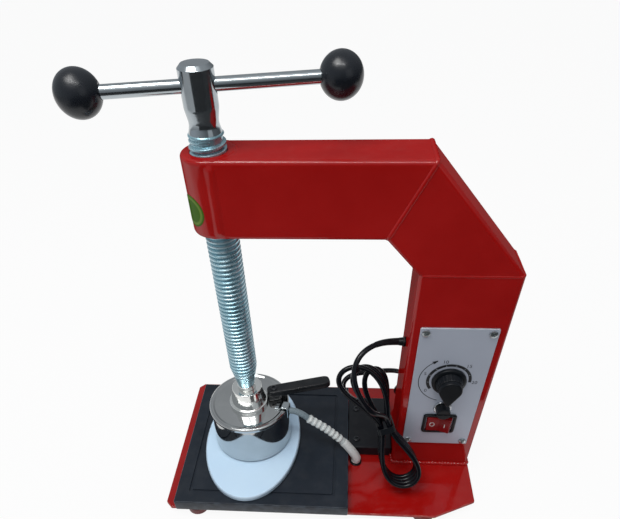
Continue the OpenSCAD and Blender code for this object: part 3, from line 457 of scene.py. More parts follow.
column_x = THROAT + COLUMN_W / 2
column_foot, column_top = np.array([column_x, 0, 0]), np.array([column_x, 0, COLUMN_H])
column_tube = tube_patch(COLUMN_W, column_foot, UP, RIGHT, (column_foot, UP), (column_top, UP))
add_piece("column_tube", [column_tube], red_paint, "red_paint", "frame", "column")
mitre_a, mitre_b = np.array([MITRE_X, 0, ARM_TOP]), np.array([MITRE_IN_X, 0, ARM_CLEAR])
mitre_way = unit(mitre_a - mitre_b)
mitre_plane = (mitre_a, np.cross(BACK, mitre_way))
diagonal_way = unit([-(THROAT + COLUMN_W - MITRE_X), 0, ARM_TOP - COLUMN_H])
diagonal_tube = tube_patch(COLUMN_W * diagonal_way[2], column_top, diagonal_way,
                           np.cross(BACK, diagonal_way), (column_top, UP), mitre_plane)
add_piece("diagonal_tube", [diagonal_tube], red_paint, "red_paint", "frame", "diagonal")


def arm_patch():
    """Arm from the boss to the mitre: its left end follows the boss, where each end point moves
    along the arm to the boss's circle."""
    grid, *wraps = tube_patch(ARM_H, boss_mid * UP, RIGHT, UP, (0 * UP, RIGHT), mitre_plane)
    for row in (0, 3):
        grid[row, :, 0] = np.sqrt(BOSS_R ** 2 - np.minimum(np.abs(grid[row, :, 1]), BOSS_R) ** 2)
    return grid, *wraps


add_piece("arm_tube", [arm_patch()], red_paint, "red_paint", "frame", "arm")

# Boss: a turned steel bush at the end of the arm, bored for the screw, with rounded edges,
# welded to the arm on both sides and painted with it.
SCREW_R, RUN_GAP = 13, 0.08


def bush_profile(inside, outside, low, high, seam, radius, steps=4):
    """Section of a ring, closed on its inner side at the seam's height."""
    return soft_profile([(inside, seam), (inside, low), (outside, low), (outside, high), (inside, high),
                         (inside, seam)], radius, steps)


boss_profile = bush_profile(SCREW_R + RUN_GAP, BOSS_R, ARM_CLEAR, ARM_TOP, boss_mid, [0.4, 3, 3, 0.4], 6)
add_piece("boss_bush", [lathe_patch(boss_profile, 96)], red_paint, "red_paint", "frame", "screw_boss")

# Weld beads: where the tubes, the boss and the base plate were joined by arc welding. Each is
# a rippled bead half sunk in the steel, painted over with the frame.


def sweep_patch(path, section, reference, closed=False, swell=1.0):
    """A section carried along a path: at each point of the path the section lies square to it,
    turned so that its first axis is as near as it can be to the reference. swell scales the
    section from point to point. An open sweep closes to a point at both ends."""
    path = np.asarray(path, float)
    way = unit(np.roll(path, -1, 0) - np.roll(path, 1, 0) if closed else np.gradient(path, axis=0))
    reference = np.broadcast_to(reference, path.shape)
    first = unit(reference - np.sum(reference * way, 1, keepdims=True) * way)
    second = np.cross(way, first)
    swell = np.broadcast_to(swell, len(path))[:, None, None]
    grid = path[:, None] + swell * (section[:, :1] * first[:, None] + section[:, 1:] * second[:, None])
    return (grid, True, True) if closed else capped(grid, path[[0, -1]])


def steps_along(path):
    """Distance between neighbours on a line."""
    return np.linalg.norm(np.diff(path, axis=0), axis=1)


def resample(path, step, closed=False):
    """Points at even distances along a line of straight stretches."""
    path = np.asarray(path, float)
    if closed:
        path = np.concatenate([path, path[:1]])
    run = np.append(0, np.cumsum(steps_along(path)))
    count = max(int(run[-1] / step), 2)
    at = np.linspace(0, run[-1], count + 1)[:count + (not closed)]
    return np.stack([np.interp(at, run, path[:, k]) for k in range(3)], 1)


def bead_patch(path, radius, pitch, height=0.24):
    """Weld bead round a joint: a round section whose size rises and falls by the height once a
    ripple, with a slower change."""
    step = pitch / 6
    line = resample(path, step, True)
    count = len(line)
    run = np.arange(count) * step
    ripples = max(round(count * step / pitch), 1)
    ripple = height * np.abs(np.sin(np.pi * ripples * np.arange(count) / count))
    slow = height * (0.5 * np.sin(run / 7.3) + 0.33 * np.sin(run / 3.1 + 1))
    slow = slow * np.sin(np.pi * np.linspace(0, 1, count))
    return sweep_patch(line, radius * circle(10), (0.13, 0.31, 0.94), True, 0.9 + ripple + slow)


def seam_line(width, sink, axes):
    """Rounded outline of a tube's cut end as a closed line, the sink below the tube's surface."""
    outline, _ = rounded_box_outline(width - 2 * sink, TUBE_D - 2 * sink, TUBE_R, 6)
    return turned(at_height(outline, 0.0), axes)


COLUMN_SINK, MITRE_SINK, FOOT_LIFT = 0.9, 1.15, 0.4
mitre_axes = ((mitre_a + mitre_b) / 2, mitre_way, BACK, np.cross(mitre_way, BACK))
beads = [bead_patch(seam_line(COLUMN_W, COLUMN_SINK, upright(column_top)), 1.45, 3.6, 0.06),
         bead_patch(seam_line(COLUMN_W, 0, upright(column_foot + FOOT_LIFT * UP)), 2.6, 3.4),
         bead_patch(seam_line(np.linalg.norm(mitre_a - mitre_b), MITRE_SINK, mitre_axes), 2.25, 5.0, 0.04)]
NOTCH_R, NOTCH_HALF_W, NOTCH_HALF_H, NOTCH_SINK = 18.9, 2.7, 1.1, 0.95
notch_turns = np.radians(np.linspace(-62, 62, 90))
notch_line = at_height(NOTCH_R * rays(notch_turns), ARM_TOP - NOTCH_SINK)
notch_swell = 1 + 0.05 * np.sin(13 * notch_turns) + 0.04 * np.sin(31 * notch_turns + 1)
notch_section = circle(24) * (NOTCH_HALF_W, NOTCH_HALF_H)
beads.append(sweep_patch(notch_line, notch_section, at_height(rays(notch_turns), 0.0), swell=notch_swell))


def boss_fillet_patch(side):
    """Dressed weld where the boss runs into the arm's face: across it the height is a cosine
    bump that ends flush on both sides, up the joint the bump rises and falls a little; the back
    of the patch lies inside the wall."""
    across = np.linspace(-2.6, 9.8, 41)
    up = np.linspace(ARM_CLEAR + 1.2, ARM_TOP - 2.2, 60)[:, None]
    bump = 0.5 + 0.5 * np.cos(np.pi * np.clip((across - 3.6) / 5.2, -1, 1))
    ends = np.clip(np.minimum(up - up[0], up[-1] - up) / 4, 0, 1)
    swell = 1 + 0.07 * np.sin(up / 9.1) + 0.04 * np.sin(up / 5.3 + 1)
    face = np.sqrt(BOSS_R ** 2 - np.minimum(across, 0) ** 2)
    front = np.stack(np.broadcast_arrays(across, side * (face - 0.12 + 1.25 * bump * ends * swell), up), -1)
    back = front.copy()
    back[..., 1] = side * (face - 1.2)
    return capped(np.concatenate([front, back[:, ::-1]], 1))


beads += [boss_fillet_patch(side) for side in (-1, 1)]
add_piece("weld_beads", beads, red_paint, "red_paint", "frame", sharp=60)

# Sticker: a round green plastic film, pressed on the boss and bent round it. It is left blank,
# with a paler ring near its edge.
STICKER_R, STICKER_TURN, STICKER_DROP, FILM_T = 11.5, math.radians(220), 9, 0.25


def polar(reach, count):
    """The two coordinates of points on circles of the given radii."""
    return np.moveaxis(reach[:, None, None] * circle(count), -1, 0)


def sticker_patch():
    """Disc bent round the boss: distance from its middle along the arc and along the height is
    laid on the cylinder, first over its outer face and then back under it."""
    reach = np.array([0, 2, 4, 5.6, 6.2, 6.8, 7.4, 7.9, 8.0, 8.0, 7.9, 4, 0]) * STICKER_R / 8
    lift = np.array([1, 1, 1, 1, 1, 1, 1, 1, 0.7, 0.2, 0.05, 0.05, 0.05]) * FILM_T
    across, up = polar(reach, 64)
    flat = (BOSS_R + lift)[:, None, None] * rays(STICKER_TURN + across / BOSS_R)
    grid = at_height(flat, (boss_mid - STICKER_DROP + up)[..., None])
    return (grid, False, True), ((reach > 0.72 * STICKER_R) & (reach < 0.87 * STICKER_R))[:, None]


green_film = make_finish("green_film", (0.036, 0.096, 0.006), (0.056, 0.142, 0.010), (0.25, 0.40),
                         fine=800.0, bump=0.03, worn=(0.15, 0.24, 0.04), wear=0.9, edge_breaks=None,
                         shine=0.10)
dull_at_glance(green_film)
sticker, sticker_ring = sticker_patch()
add_piece("blank_sticker", [sticker], green_film, "green_film", "frame", "boss_sticker",
          edge=[sticker_ring])

# Lower platen: a flat block of cast aluminium, painted black, with a shallow machined groove
# round its working area. It is bolted down from below over the lower heating element.
PLATEN_LEFT, PLATEN_RIGHT, PLATEN_FRONT, PLATEN_BACK, PLATEN_H = -71, 104, -88, 78, 14
GROOVE_IN, GROOVE_W, GROOVE_D = 13, 2.8, 1.3


def platen_patch():
    """Stack of rounded rectangles from the underside over the edges and across the top, each
    with its own inset, height and corner radius; the groove is the last eight of them."""
    edge = edge_profile(0, PLATEN_H, 0.9)
    groove = [(-0.3, 0), (0.0, 0), (0.18, 0.12), (0.3, 1), (GROOVE_W - 0.3, 1), (GROOVE_W - 0.18, 0.12),
              (GROOVE_W, 0), (GROOVE_W + 0.3, 0)]
    rows = [(inset, z, 1.2) for inset, z in edge]
    rows += [(GROOVE_IN + inset, PLATEN_H - GROOVE_D * sink, 2.0) for inset, sink in groove]
    middle = np.array([PLATEN_LEFT + PLATEN_RIGHT, PLATEN_BACK + PLATEN_FRONT]) / 2
    width, depth = PLATEN_RIGHT - PLATEN_LEFT, PLATEN_BACK - PLATEN_FRONT
    grid = []
    for inset, z, radius in rows:
        outline, _ = rounded_box_outline(width - 2 * inset, depth - 2 * inset, radius)
        grid.append(at_height(outline + middle, z))
    mark = np.zeros((len(rows) + 2, 1))
    mark[2:len(edge)] = 1
    return capped(np.stack(grid)), mark


platen_black = make_finish("platen_black", (0.0080, 0.0125, 0.0200), (0.0120, 0.0180, 0.0280), (0.34, 0.50),
                           broad=35.0, fine=1400.0, bump=0.08, worn=(0.05, 0.065, 0.085), wear=0.5,
                           dust=0.02, shine=0.30)
platen, platen_mark = platen_patch()
add_piece("platen_block", [platen], platen_black, "platen_black", "frame", "lower_platen",
          edge=[platen_mark])

# Heating elements, the upper one's post and the insulating sheets: sealed inside the platen and
# the heater, kept as CAD solids of steel and mica.
element_steel = make_finish("element_steel", (0.20, 0.19, 0.18), (0.32, 0.30, 0.28), (0.40, 0.60),
                            metal=1.0, fine=700.0)
mica_board = make_finish("mica_board", (0.42, 0.36, 0.25), (0.55, 0.49, 0.36), (0.55, 0.75), fine=300.0,
                         bump=0.15)
for hidden_node in ("platen_element", "heater_element", "heater_post"):
    dress_node(hidden_node, element_steel)
for hidden_node in ("platen_sheet", "heater_disc"):
    dress_node(hidden_node, mica_board)

# Terminal cover: a black powder-coated sheet box between the platen and the column, over the
# wires of the lower element, held by two pan-head screws.
cover_black = make_finish("cover_black", (0.0055, 0.0066, 0.0100), (0.0085, 0.0100, 0.0140), (0.40, 0.56),
                          broad=30.0, fine=1100.0, bump=0.18, worn=(0.04, 0.045, 0.05), wear=0.4, dust=0.02,
                          shine=0.28)
COVER_LEFT, COVER_RIGHT, COVER_FRONT, COVER_BACK, COVER_H = 104.5, 151, -12, 62, 14
cover_rows = edge_profile(0, COVER_H, 1.4, 5)
cover_mid = ((COVER_LEFT + COVER_RIGHT) / 2, (COVER_FRONT + COVER_BACK) / 2, 0)
cover_box = plate_patch(rounded_box_outline(COVER_RIGHT - COVER_LEFT, COVER_BACK - COVER_FRONT, 2.2),
                        cover_rows, upright(cover_mid))
add_piece("terminal_box", [cover_box], cover_black, "cover_black", "frame", "terminal_cover",
          edge=[edge_rows(np.abs(cover_rows[:, 0] - 0.5) < 0.45)])

# Pan-head screws: heads with a cross recess, blacked on the terminal cover and the handle, and
# bright zinc plated at the corners of the control panel.
PAN_H, CROSS_HALF_W, CROSS_HALF_L, CROSS_D = 2.2, 0.55, 1.85, 1.3


def pan_patch(origin, out_way, turn):
    """Pan head: a dome over a polar grid, lowered where a cross of two bars lies, on a short
    straight edge, and closed below."""
    side = np.cross(out_way, RIGHT)
    first = math.cos(turn) * side + math.sin(turn) * np.cross(out_way, side)
    reach = np.array([0, 0.2, 0.4, 0.6, 0.8, 1.0, 1.2, 1.4, 1.6, 1.75, 1.9, 2.1, 2.5, 2.9, 3.2, 3.4, 3.5,
                      3.5, 0])
    dome = PAN_H - 0.075 * reach ** 2
    dome[-3:] = 0.9, 0, 0
    x, y = polar(reach, 96)
    near, far = np.minimum(np.abs(x), np.abs(y)), np.maximum(np.abs(x), np.abs(y))
    sunk = np.clip((CROSS_HALF_W - near) / 0.12, 0, 1) * np.clip((CROSS_HALF_L - far) / 0.25, 0, 1)
    sunk[-3:] = 0
    grid = np.stack([x, y, dome[:, None] - CROSS_D * sunk], -1)
    return turned(grid, (origin, first, np.cross(out_way, first), out_way)), False, True


COVER_SCREW_X, COVER_SCREWS = 113, ((-1, 0.4), (43, 1.1))
cover_heads = [pan_patch((COVER_SCREW_X, y, COVER_H), UP, turn) for y, turn in COVER_SCREWS]
black_screw = make_finish("black_screw", (0.012, 0.014, 0.018), (0.022, 0.025, 0.030), (0.35, 0.5),
                          fine=900.0, shine=0.35)
add_piece("cover_screw_heads", cover_heads, black_screw, "zinc_steel", "frame", "cover_screws")

# Press screw: a rolled trapezoidal thread of 4 mm lead on a turned shaft, zinc plated and
# slightly blue, with a coned end, a waisted neck and a bright cylindrical head that is
# cross-bored for the bar.
THREAD_LEAD, THREAD_DEPTH = 4, 2.0
CORE_R = SCREW_R - THREAD_DEPTH
Z_TIP, Z_CONE, Z_NECK, Z_HEAD, Z_HEAD_TOP = 80.8, 98.3, 334.6, 348.6, 375.6
TIP_R, CONE_R, CONE_L, NECK_R, HEAD_R, HEAD_CHAMFER = 6.25, 8.25, 24.5, 9.75, 11.5, 2.4
Z_ROOT = Z_CONE + CONE_L * (CORE_R - CONE_R) / (SCREW_R - CONE_R)


def thread_patch():
    """Thread ridge: a trapezoid with rounded crests is carried up a helix that rises one lead a
    turn; it is cut off by the cone at the screw's end, and sinks into the core at the neck."""
    start_z = Z_ROOT - 2 * THREAD_LEAD
    turns = (Z_NECK - start_z - 0.6) / THREAD_LEAD - 1
    angle = np.linspace(0, turns * 2 * np.pi, int(turns * 48) + 1)[:, None]
    reach = np.array([-0.3, 0.0, 0.86, 1.0, 1.0, 0.86, 0.0, -0.3])
    phase = np.array([0.06, 0.10, 0.31, 0.36, 0.64, 0.69, 0.90, 0.94])
    fade = np.clip((angle[-1] - angle) / np.pi, 0, 1)
    lift = np.where(reach > 0, reach * fade, reach)
    height = start_z + THREAD_LEAD * (angle / (2 * np.pi) + phase)
    cone = CONE_R + (SCREW_R - CONE_R) * (height - Z_CONE) / CONE_L
    radius = CORE_R + THREAD_DEPTH * lift - 0.2 * (1 - fade)
    radius = np.minimum(radius, cone - np.where(height < Z_ROOT, 0.1, 0))
    return capped(at_height(-radius[..., None] * rays(angle), height[..., None])), reach > 0.5


def shaft_patch():
    """Turned shaft from the tip over the cone and along the thread's core to the neck."""
    line = [(0, Z_TIP), (TIP_R, Z_TIP), (TIP_R, Z_CONE), (CONE_R, Z_CONE), (CORE_R, Z_ROOT),
            (CORE_R, Z_NECK - 1.4), (SCREW_R - 0.6, Z_NECK - 0.6), (SCREW_R - 1.0, Z_NECK + 0.2),
            (SCREW_R - 1.8, Z_NECK + 0.8)]
    return lathe_patch(soft_profile(line, [0.8, 0.1, 0.6, 1.0, 0.3, 0.4, 0.4]), 144)


def level_way(turn):
    """Level direction at an angle from the x axis."""
    return np.append(rays(turn), 0)


BAR_R, BAR_Z, BAR_WAY = 4.25, 363.1, level_way(math.radians(11))


def head_patch():
    """Turned neck and head: the neck is waisted, and where the head meets the bar's cross bore
    the surface sinks along the bar, with a broken edge round the bore."""
    lower = soft_profile([(0, Z_NECK + 0.6), (SCREW_R - 1.6, Z_NECK + 0.6), (NECK_R, Z_NECK + 6.5),
                          (HEAD_R, Z_HEAD + 2), (HEAD_R, BAR_Z - 8)], [0.2, 16, 14], 10)
    bored = np.stack([np.full(48, HEAD_R), np.linspace(BAR_Z - 7.5, BAR_Z + 7.5, 48)], 1)
    upper = soft_profile([(HEAD_R, BAR_Z + 8), (HEAD_R, Z_HEAD_TOP - HEAD_CHAMFER),
                          (HEAD_R - HEAD_CHAMFER, Z_HEAD_TOP), (0, Z_HEAD_TOP)], 0.5)
    grid, *wraps = lathe_patch(np.concatenate([lower, bored, upper]), 144)
    along = (grid @ BAR_WAY)[..., None]
    from_bar = np.linalg.norm(grid - BAR_Z * UP - along * BAR_WAY, axis=-1, keepdims=True)
    sink = np.clip((BAR_R + 0.9 - from_bar) / 0.6, 0, 1) * 2.5
    return grid - np.sign(along) * sink * BAR_WAY, *wraps


# The thread's crests take the paler colour: partly wear of the crests, partly painted shade in the valleys
# between them.
zinc_screw = make_finish("zinc_screw", (0.245, 0.420, 0.485), (0.400, 0.610, 0.690), (0.22, 0.36),
                         metal=0.72, broad=45.0, fine=900.0, worn=(0.50, 0.66, 0.72), wear=0.8,
                         edge_breaks=60.0)
thread, crest_wear_and_valley_shade = thread_patch()
add_piece("press_screw_turned", [thread, shaft_patch()], zinc_screw, "zinc_steel", "screw", "press_screw",
          edge=[crest_wear_and_valley_shade, 0], sharp=40)
head_steel = make_finish("head_steel", (0.36, 0.40, 0.425), (0.47, 0.51, 0.535), (0.10, 0.20), metal=1.0,
                         broad=45.0, fine=500.0, bump=0.02)
add_piece("screw_head_turned", [head_patch()], head_steel, "zinc_steel", "screw", sharp=40)

# Tommy bar: a bright chromed rod that slides through the head, with a black phenolic ball
# pressed on each end; the balls have a flat at the bar and a faint mould line.
chrome = make_finish("chrome", (0.40, 0.44, 0.46), (0.50, 0.54, 0.56), (0.05, 0.14), metal=1.0, broad=30.0,
                     fine=500.0, bump=0.015)
ball_black = make_finish("ball_black", (0.0055, 0.0072, 0.0110), (0.0085, 0.0110, 0.0160), (0.22, 0.34),
                         broad=50.0, fine=1500.0, bump=0.04, dust=0.01, shine=0.45)
BAR_START, BAR_END, BALL_R, BALL_FLAT = -72, 90, 14.5, 1
BALL_PLACES = ((-73.5, 1), (91.5, -1))
bar_axes = (BAR_Z * UP, UP, np.cross(BAR_WAY, UP), BAR_WAY)


def rod_profile(radius, low, high, rounding, steps=4):
    """Section of a round rod, from its axis out and back to it."""
    return soft_profile([(0, low), (radius, low), (radius, high), (0, high)], rounding, steps)


bar_rod = lathe_patch(rod_profile(BAR_R, BAR_START, BAR_END, 0.6), 48, bar_axes)
add_piece("tommy_rod", [bar_rod], chrome, "chrome_plate", "bar", "tommy_bar")


def ball_patch(middle, side):
    """Ball on the bar: a circle's radius along its axis, up by a hair at the mould line, cut
    flat towards the bar and sunk round the rod."""
    flat = BALL_R - BALL_FLAT
    angle = np.linspace(math.pi, math.acos(flat / BALL_R), 60)
    along = BALL_R * np.cos(angle)
    radius = BALL_R * np.sin(angle) + 0.06 * np.exp(-(along / 0.35) ** 2)
    radius[0] = 0
    rim = [(BAR_R + 0.9, flat), (BAR_R + 0.3, flat - 0.1), (BAR_R + 0.1, flat - 0.6),
           (BAR_R + 0.1, flat - 5), (0, flat - 5)]
    profile = np.concatenate([np.stack([radius, along], 1), rim])
    profile[:, 1] = middle + side * profile[:, 1]
    return lathe_patch(profile, 72, bar_axes)


balls = [ball_patch(middle, side) for middle, side in BALL_PLACES]
add_piece("ball_knobs", balls, ball_black, "ball_plastic", "bar", "bar_balls")

# Swivel: a plated ring round the screw's tip over a turned conical socket with a flange,
# which carries the heater and lets the screw turn in it; a thrust washer lies inside.
Z_FLAT, Z_RING, RING_WALL, RING_H = 70.6, 93.1, 2.5, 5
FLANGE_R, FLANGE_H, SOCKET_BASE_R, SOCKET_TOP_R, SOCKET_H, SOCKET_DEEP = 19.8, 4.2, 17.7, 14.8, 22.3, 5
ring_in = TIP_R + RUN_GAP
# The collar and the socket take a lighter copy of the chrome plating, which paints in their bright
# reflections.
socket_chrome_painted_light = make_finish("socket_chrome_painted_light", (0.76, 0.77, 0.75), (0.86, 0.87, 0.85), (0.07, 0.16),
                            metal=1.0, broad=30.0, fine=500.0, bump=0.02)
collar = lathe_patch(bush_profile(ring_in, ring_in + RING_WALL, Z_RING, Z_RING + RING_H, Z_RING + 1.5,
                                  [0.2, 0.8, 0.8, 0.2]))
add_piece("swivel_collar", [collar], socket_chrome_painted_light, "chrome_plate", "nose", "swivel_ring")
dress_node("thrust_washer", zinc_bolt)
socket_top, socket_in = Z_FLAT + SOCKET_H, ring_in + 0.3
socket = lathe_patch(soft_profile([(0, Z_FLAT), (FLANGE_R, Z_FLAT), (FLANGE_R, Z_FLAT + FLANGE_H),
                                   (SOCKET_BASE_R, Z_FLAT + FLANGE_H), (SOCKET_TOP_R, socket_top),
                                   (socket_in, socket_top), (socket_in, socket_top - SOCKET_DEEP),
                                   (0, socket_top - SOCKET_DEEP)], [0.3, 0.9, 0.5, 0.9, 0.4, 0.2]), 144)
add_piece("swivel_socket", [socket], socket_chrome_painted_light, "chrome_plate", "heater", "heater_socket")

# Heater case: a drawn and chromed cover, flat inside its rolled rim, over a slightly tapered
# chromed wall, on an aluminium sole that shows as a thin dark line at the bottom. The sole is
# coloured near black as painted shade in the gap under the wall.
Z_RIM, Z_WALL, Z_SOLE, SKIN = 71.2, 22.2, 20.2, 1.2
RIM_R, RIM_H, WALL_LOW_R, WALL_TOP_R, SOLE_R, SOLE_H = 41, 4, 41.5, 39, 39.4, 10
case_chrome = make_finish("case_chrome", (0.46, 0.47, 0.47), (0.55, 0.56, 0.56), (0.045, 0.12), metal=1.0,
                          broad=25.0, fine=400.0, bump=0.012)
cover_outside = soft_profile([(RIM_R - SKIN, Z_RIM - RIM_H), (RIM_R - 0.2, Z_RIM - RIM_H),
                              (RIM_R, Z_RIM - 0.6), (RIM_R - 1.6, Z_RIM + 0.5), (RIM_R - 2.6, Z_RIM + 0.1),
                              (RIM_R - 3.6, Z_RIM + 0.4), (RIM_R - 5.6, Z_FLAT), (0, Z_FLAT)],
                             [0.3, 1.1, 0.7, 0.5, 0.7, 1.2], 5)
cover_inside = [(0, Z_FLAT - SKIN), (RIM_R - 8, Z_FLAT - SKIN), (RIM_R - SKIN, Z_RIM - 1.6),
                (RIM_R - SKIN, Z_RIM - RIM_H)]
case_cover = lathe_patch(np.concatenate([cover_outside, cover_inside]), 144)
add_piece("case_cover", [case_cover], case_chrome, "chrome_plate", "heater", "heater_cover")
wall_profile = soft_profile([(WALL_LOW_R - SKIN, Z_WALL + 2), (WALL_LOW_R - SKIN, Z_WALL),
                             (WALL_LOW_R, Z_WALL), (WALL_TOP_R, Z_RIM), (WALL_TOP_R - SKIN, Z_RIM),
                             (WALL_LOW_R - SKIN, Z_WALL + 2)], [0.2, 0.4, 0.2, 0.2])
add_piece("case_wall", [lathe_patch(wall_profile, 144)], case_chrome, "chrome_plate", "heater",
          "heater_wall")
# The sole's near-black colour is painted shade, not the colour of its aluminium.
sole_painted_shade = make_finish("sole_painted_shade", (0.10, 0.12, 0.15), (0.16, 0.18, 0.22), (0.35, 0.5), metal=1.0,
                         fine=900.0)
sole = lathe_patch(rod_profile(SOLE_R, Z_SOLE, Z_SOLE + SOLE_H, 0.5), 144)
add_piece("sole_disc", [sole], sole_painted_shade, "press_aluminium", "heater", "heater_sole")

# Handle: a black moulded phenolic grip on the heater's cover, a long rounded bar with a foot,
# held down by one screw through it.
HANDLE_IN, HANDLE_OUT, HANDLE_W, HANDLE_H, HANDLE_LOW = 19.7, 86, 13, 7.5, 75.4
GRIP_FOOT_L, GRIP_FOOT_W, GRIP_FOOT_IN, GRIP_SCREW_IN = 14, 11.5, 7.2, 7
handle_way = level_way(math.radians(16))
handle_side = np.cross(UP, handle_way)


def signed_power(value, power):
    """Power of a value's size, with the sign of the value."""
    return np.sign(value) * np.abs(value) ** power


def grip_patch():
    """Grip: a rounded box section, a superellipse of the fifth power, carried along the handle;
    its size falls to nothing at both ends along a steep superellipse, and a shallow groove runs
    along the upper part of each side."""
    along = np.concatenate([[0], 1 - np.cos(np.linspace(0.02, np.pi / 2, 14))]) * 0.09
    along = np.concatenate([along, np.linspace(0.1, 0.9, 17), 1 - along[::-1]])[:, None]
    size = (1 - np.abs(2 * along - 1) ** 14) ** (1 / 3)
    across, up = signed_power(circle(96).T, 2 / 5)
    draft = 1 - 0.08 * up
    groove = 0.035 * np.exp(-((up - 0.45) / 0.07) ** 2)
    y = size * HANDLE_W / 2 * across * draft * (1 - groove)
    z = HANDLE_LOW + HANDLE_H / 2 + size * HANDLE_H / 2 * up
    grid = np.stack(np.broadcast_arrays(HANDLE_IN + along * (HANDLE_OUT - HANDLE_IN), y, z), -1)
    return turned(grid, (0 * UP, handle_way, handle_side, UP)), False, True


handle_black = make_finish("handle_black", (0.0060, 0.0070, 0.0090), (0.0100, 0.0115, 0.0140), (0.26, 0.42),
                           broad=40.0, fine=1300.0, bump=0.06, dust=0.02, shine=0.4)
grip_foot = plate_patch(rounded_box_outline(GRIP_FOOT_L, GRIP_FOOT_W, 2),
                        edge_profile(Z_FLAT + 0.05, HANDLE_LOW + 4, 0.6),
                        (handle_way * (HANDLE_IN + GRIP_FOOT_IN), handle_way, handle_side, UP))
add_piece("grip", [grip_patch(), grip_foot], handle_black, "handle_plastic", "heater", "heater_handle")
grip_screw_at = handle_way * (HANDLE_IN + GRIP_SCREW_IN) + (HANDLE_LOW + HANDLE_H - 0.2) * UP
add_piece("grip_screw", [pan_patch(grip_screw_at, UP, 0.7)], black_screw, "zinc_steel", "heater",
          "handle_screw")

# Press plate: a loose oval of satin aluminium that lies between the heater and the work; its
# edge is rounded and a little darker.
OVAL_W, OVAL_L, OVAL_T, OVAL_SHIFT, OVAL_LOW = 102, 162, 6, -4, 14.1
press_aluminium = make_finish("press_aluminium", (0.58, 0.78, 0.98), (0.64, 0.83, 1.0), (0.42, 0.55),
                              metal=0.1, broad=18.0, fine=1600.0, bump=0.04, worn=(0.30, 0.36, 0.42),
                              wear=0.6, edge_breaks=None)
# An ellipse with the outward direction at each point
oval_outline = circle(144) * (OVAL_W / 2, OVAL_L / 2), unit(circle(144) / (OVAL_W, OVAL_L))
oval_rows = edge_profile(OVAL_LOW, OVAL_LOW + OVAL_T, 1.4, 6)
add_piece("oval_plate_satin", [plate_patch(oval_outline, oval_rows, upright(OVAL_SHIFT * BACK))],
          press_aluminium, "press_aluminium", "oval_plate", "press_plate",
          edge=[edge_rows(oval_rows[:, 0] < 1.2)])

# Heater lead: a plated clip holds a short braided sleeve at the heater's cover, and a white
# ribbed boot of silicone rubber carries the wires down to a grommet in the base plate.
CLIP_W, CLIP_LOW, CLIP_OUT, CORD_GAP, LEAD_Z = 10, 60.5, 43.0, 0.3, 67
clip_way = level_way(-math.radians(11))
clip_mid_r, clip_mid_z = CLIP_OUT - SKIN / 2, Z_RIM + 1.5 + SKIN / 2
clip_line = soft_profile([(RIM_R - 12, Z_FLAT + SKIN / 2), (RIM_R - 8, Z_FLAT + SKIN / 2),
                          (RIM_R - 5, clip_mid_z), (clip_mid_r, clip_mid_z), (clip_mid_r, CLIP_LOW)], 1.2)
clip_section, _ = rounded_box_outline(CLIP_W, SKIN, 0.4, 3)
clip = sweep_patch(clip_line @ np.stack([clip_way, UP]), clip_section, np.cross(UP, clip_way))
add_piece("lead_clip_bent", [clip], chrome, "chrome_plate", "heater", "lead_clip")


def smooth(points, steps):
    """Curve through the points: in each span a cubic whose direction at a point is that of the
    line between the point's neighbours."""
    p = np.asarray(points, float)
    longer = np.concatenate([p[:1], p, p[-1:]])[:, None]
    a, b, c, d = longer[:-3], longer[1:-2], longer[2:-1], longer[3:]
    s = (np.arange(steps) / steps)[None, :, None]
    curve = b + 0.5 * s * (c - a) + s ** 2 * (a - 2.5 * b + 2 * c - 0.5 * d)
    curve = curve + s ** 3 * (1.5 * b - 0.5 * a - 1.5 * c + 0.5 * d)
    return np.concatenate([curve.reshape(-1, 3), p[-1:]])


LEAD_D, BOOT_D, BOOT_ROOT_D, BOOT_RIBS, SEAT_GAP, GROMMET_H, GROMMET_R = 6.5, 9, 10, 8, 0.2, 1.5, 6.25
lead_start = clip_way * (CLIP_OUT + CORD_GAP) + LEAD_Z * UP
lead_join = np.array([61, -11.5, 60])
join_way = unit([13, -2, -10])
grommet_at = np.array([112.5, -21, 0])
sleeve_route = [lead_start, lead_start + LEAD_D * clip_way, lead_join - LEAD_D * join_way, lead_join]
boot_route = [lead_join + SEAT_GAP * join_way, lead_join + LEAD_D * join_way, (77, -14, 49), (88, -16, 40),
              (99, -18, 29), (108, -20, 17)]
boot_route += [grommet_at + (GROMMET_H + rise) * UP for rise in (BOOT_D * 0.7, BOOT_D * 0.35, CORD_GAP)]


def braid_finish():
    """Braided glass sleeve: two sets of threads wind round it in opposite directions, each a
    sine of the turn and the run, and the higher one shows."""
    material, tree, shader = new_material("sleeve_braid")
    run = add_node(tree, "SeparateXYZ", {0: add_node(tree, "UVMap", uv_map="run")["UV"]})
    around = worked(tree, "MULTIPLY", run["X"], 2 * math.pi * 8)
    along = worked(tree, "MULTIPLY", run["Y"], 2 * math.pi * 14)
    threads = [worked(tree, "SINE", worked(tree, sign, around, along)) for sign in ("ADD", "SUBTRACT")]
    share = ranged(tree, worked(tree, "MAXIMUM", *threads), -0.6, 1.0)
    colour = mix_colour(tree, share, (0.075, 0.105, 0.125, 1), (0.235, 0.300, 0.335, 1))
    relief = add_node(tree, "Bump", {"Height": share, "Strength": 0.6, "Distance": 0.0003})
    feed(tree, shader, {"Base Color": colour, "Normal": relief["Normal"], "Roughness": 0.62})
    return material


sleeve = sweep_patch(smooth(sleeve_route, 12), LEAD_D / 2 * circle(24), BACK)
lead_sleeve = add_piece("lead_sleeve_braid", [sleeve], braid_finish(), "sleeve_fabric", None, "lead_sleeve")
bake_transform(lead_sleeve)

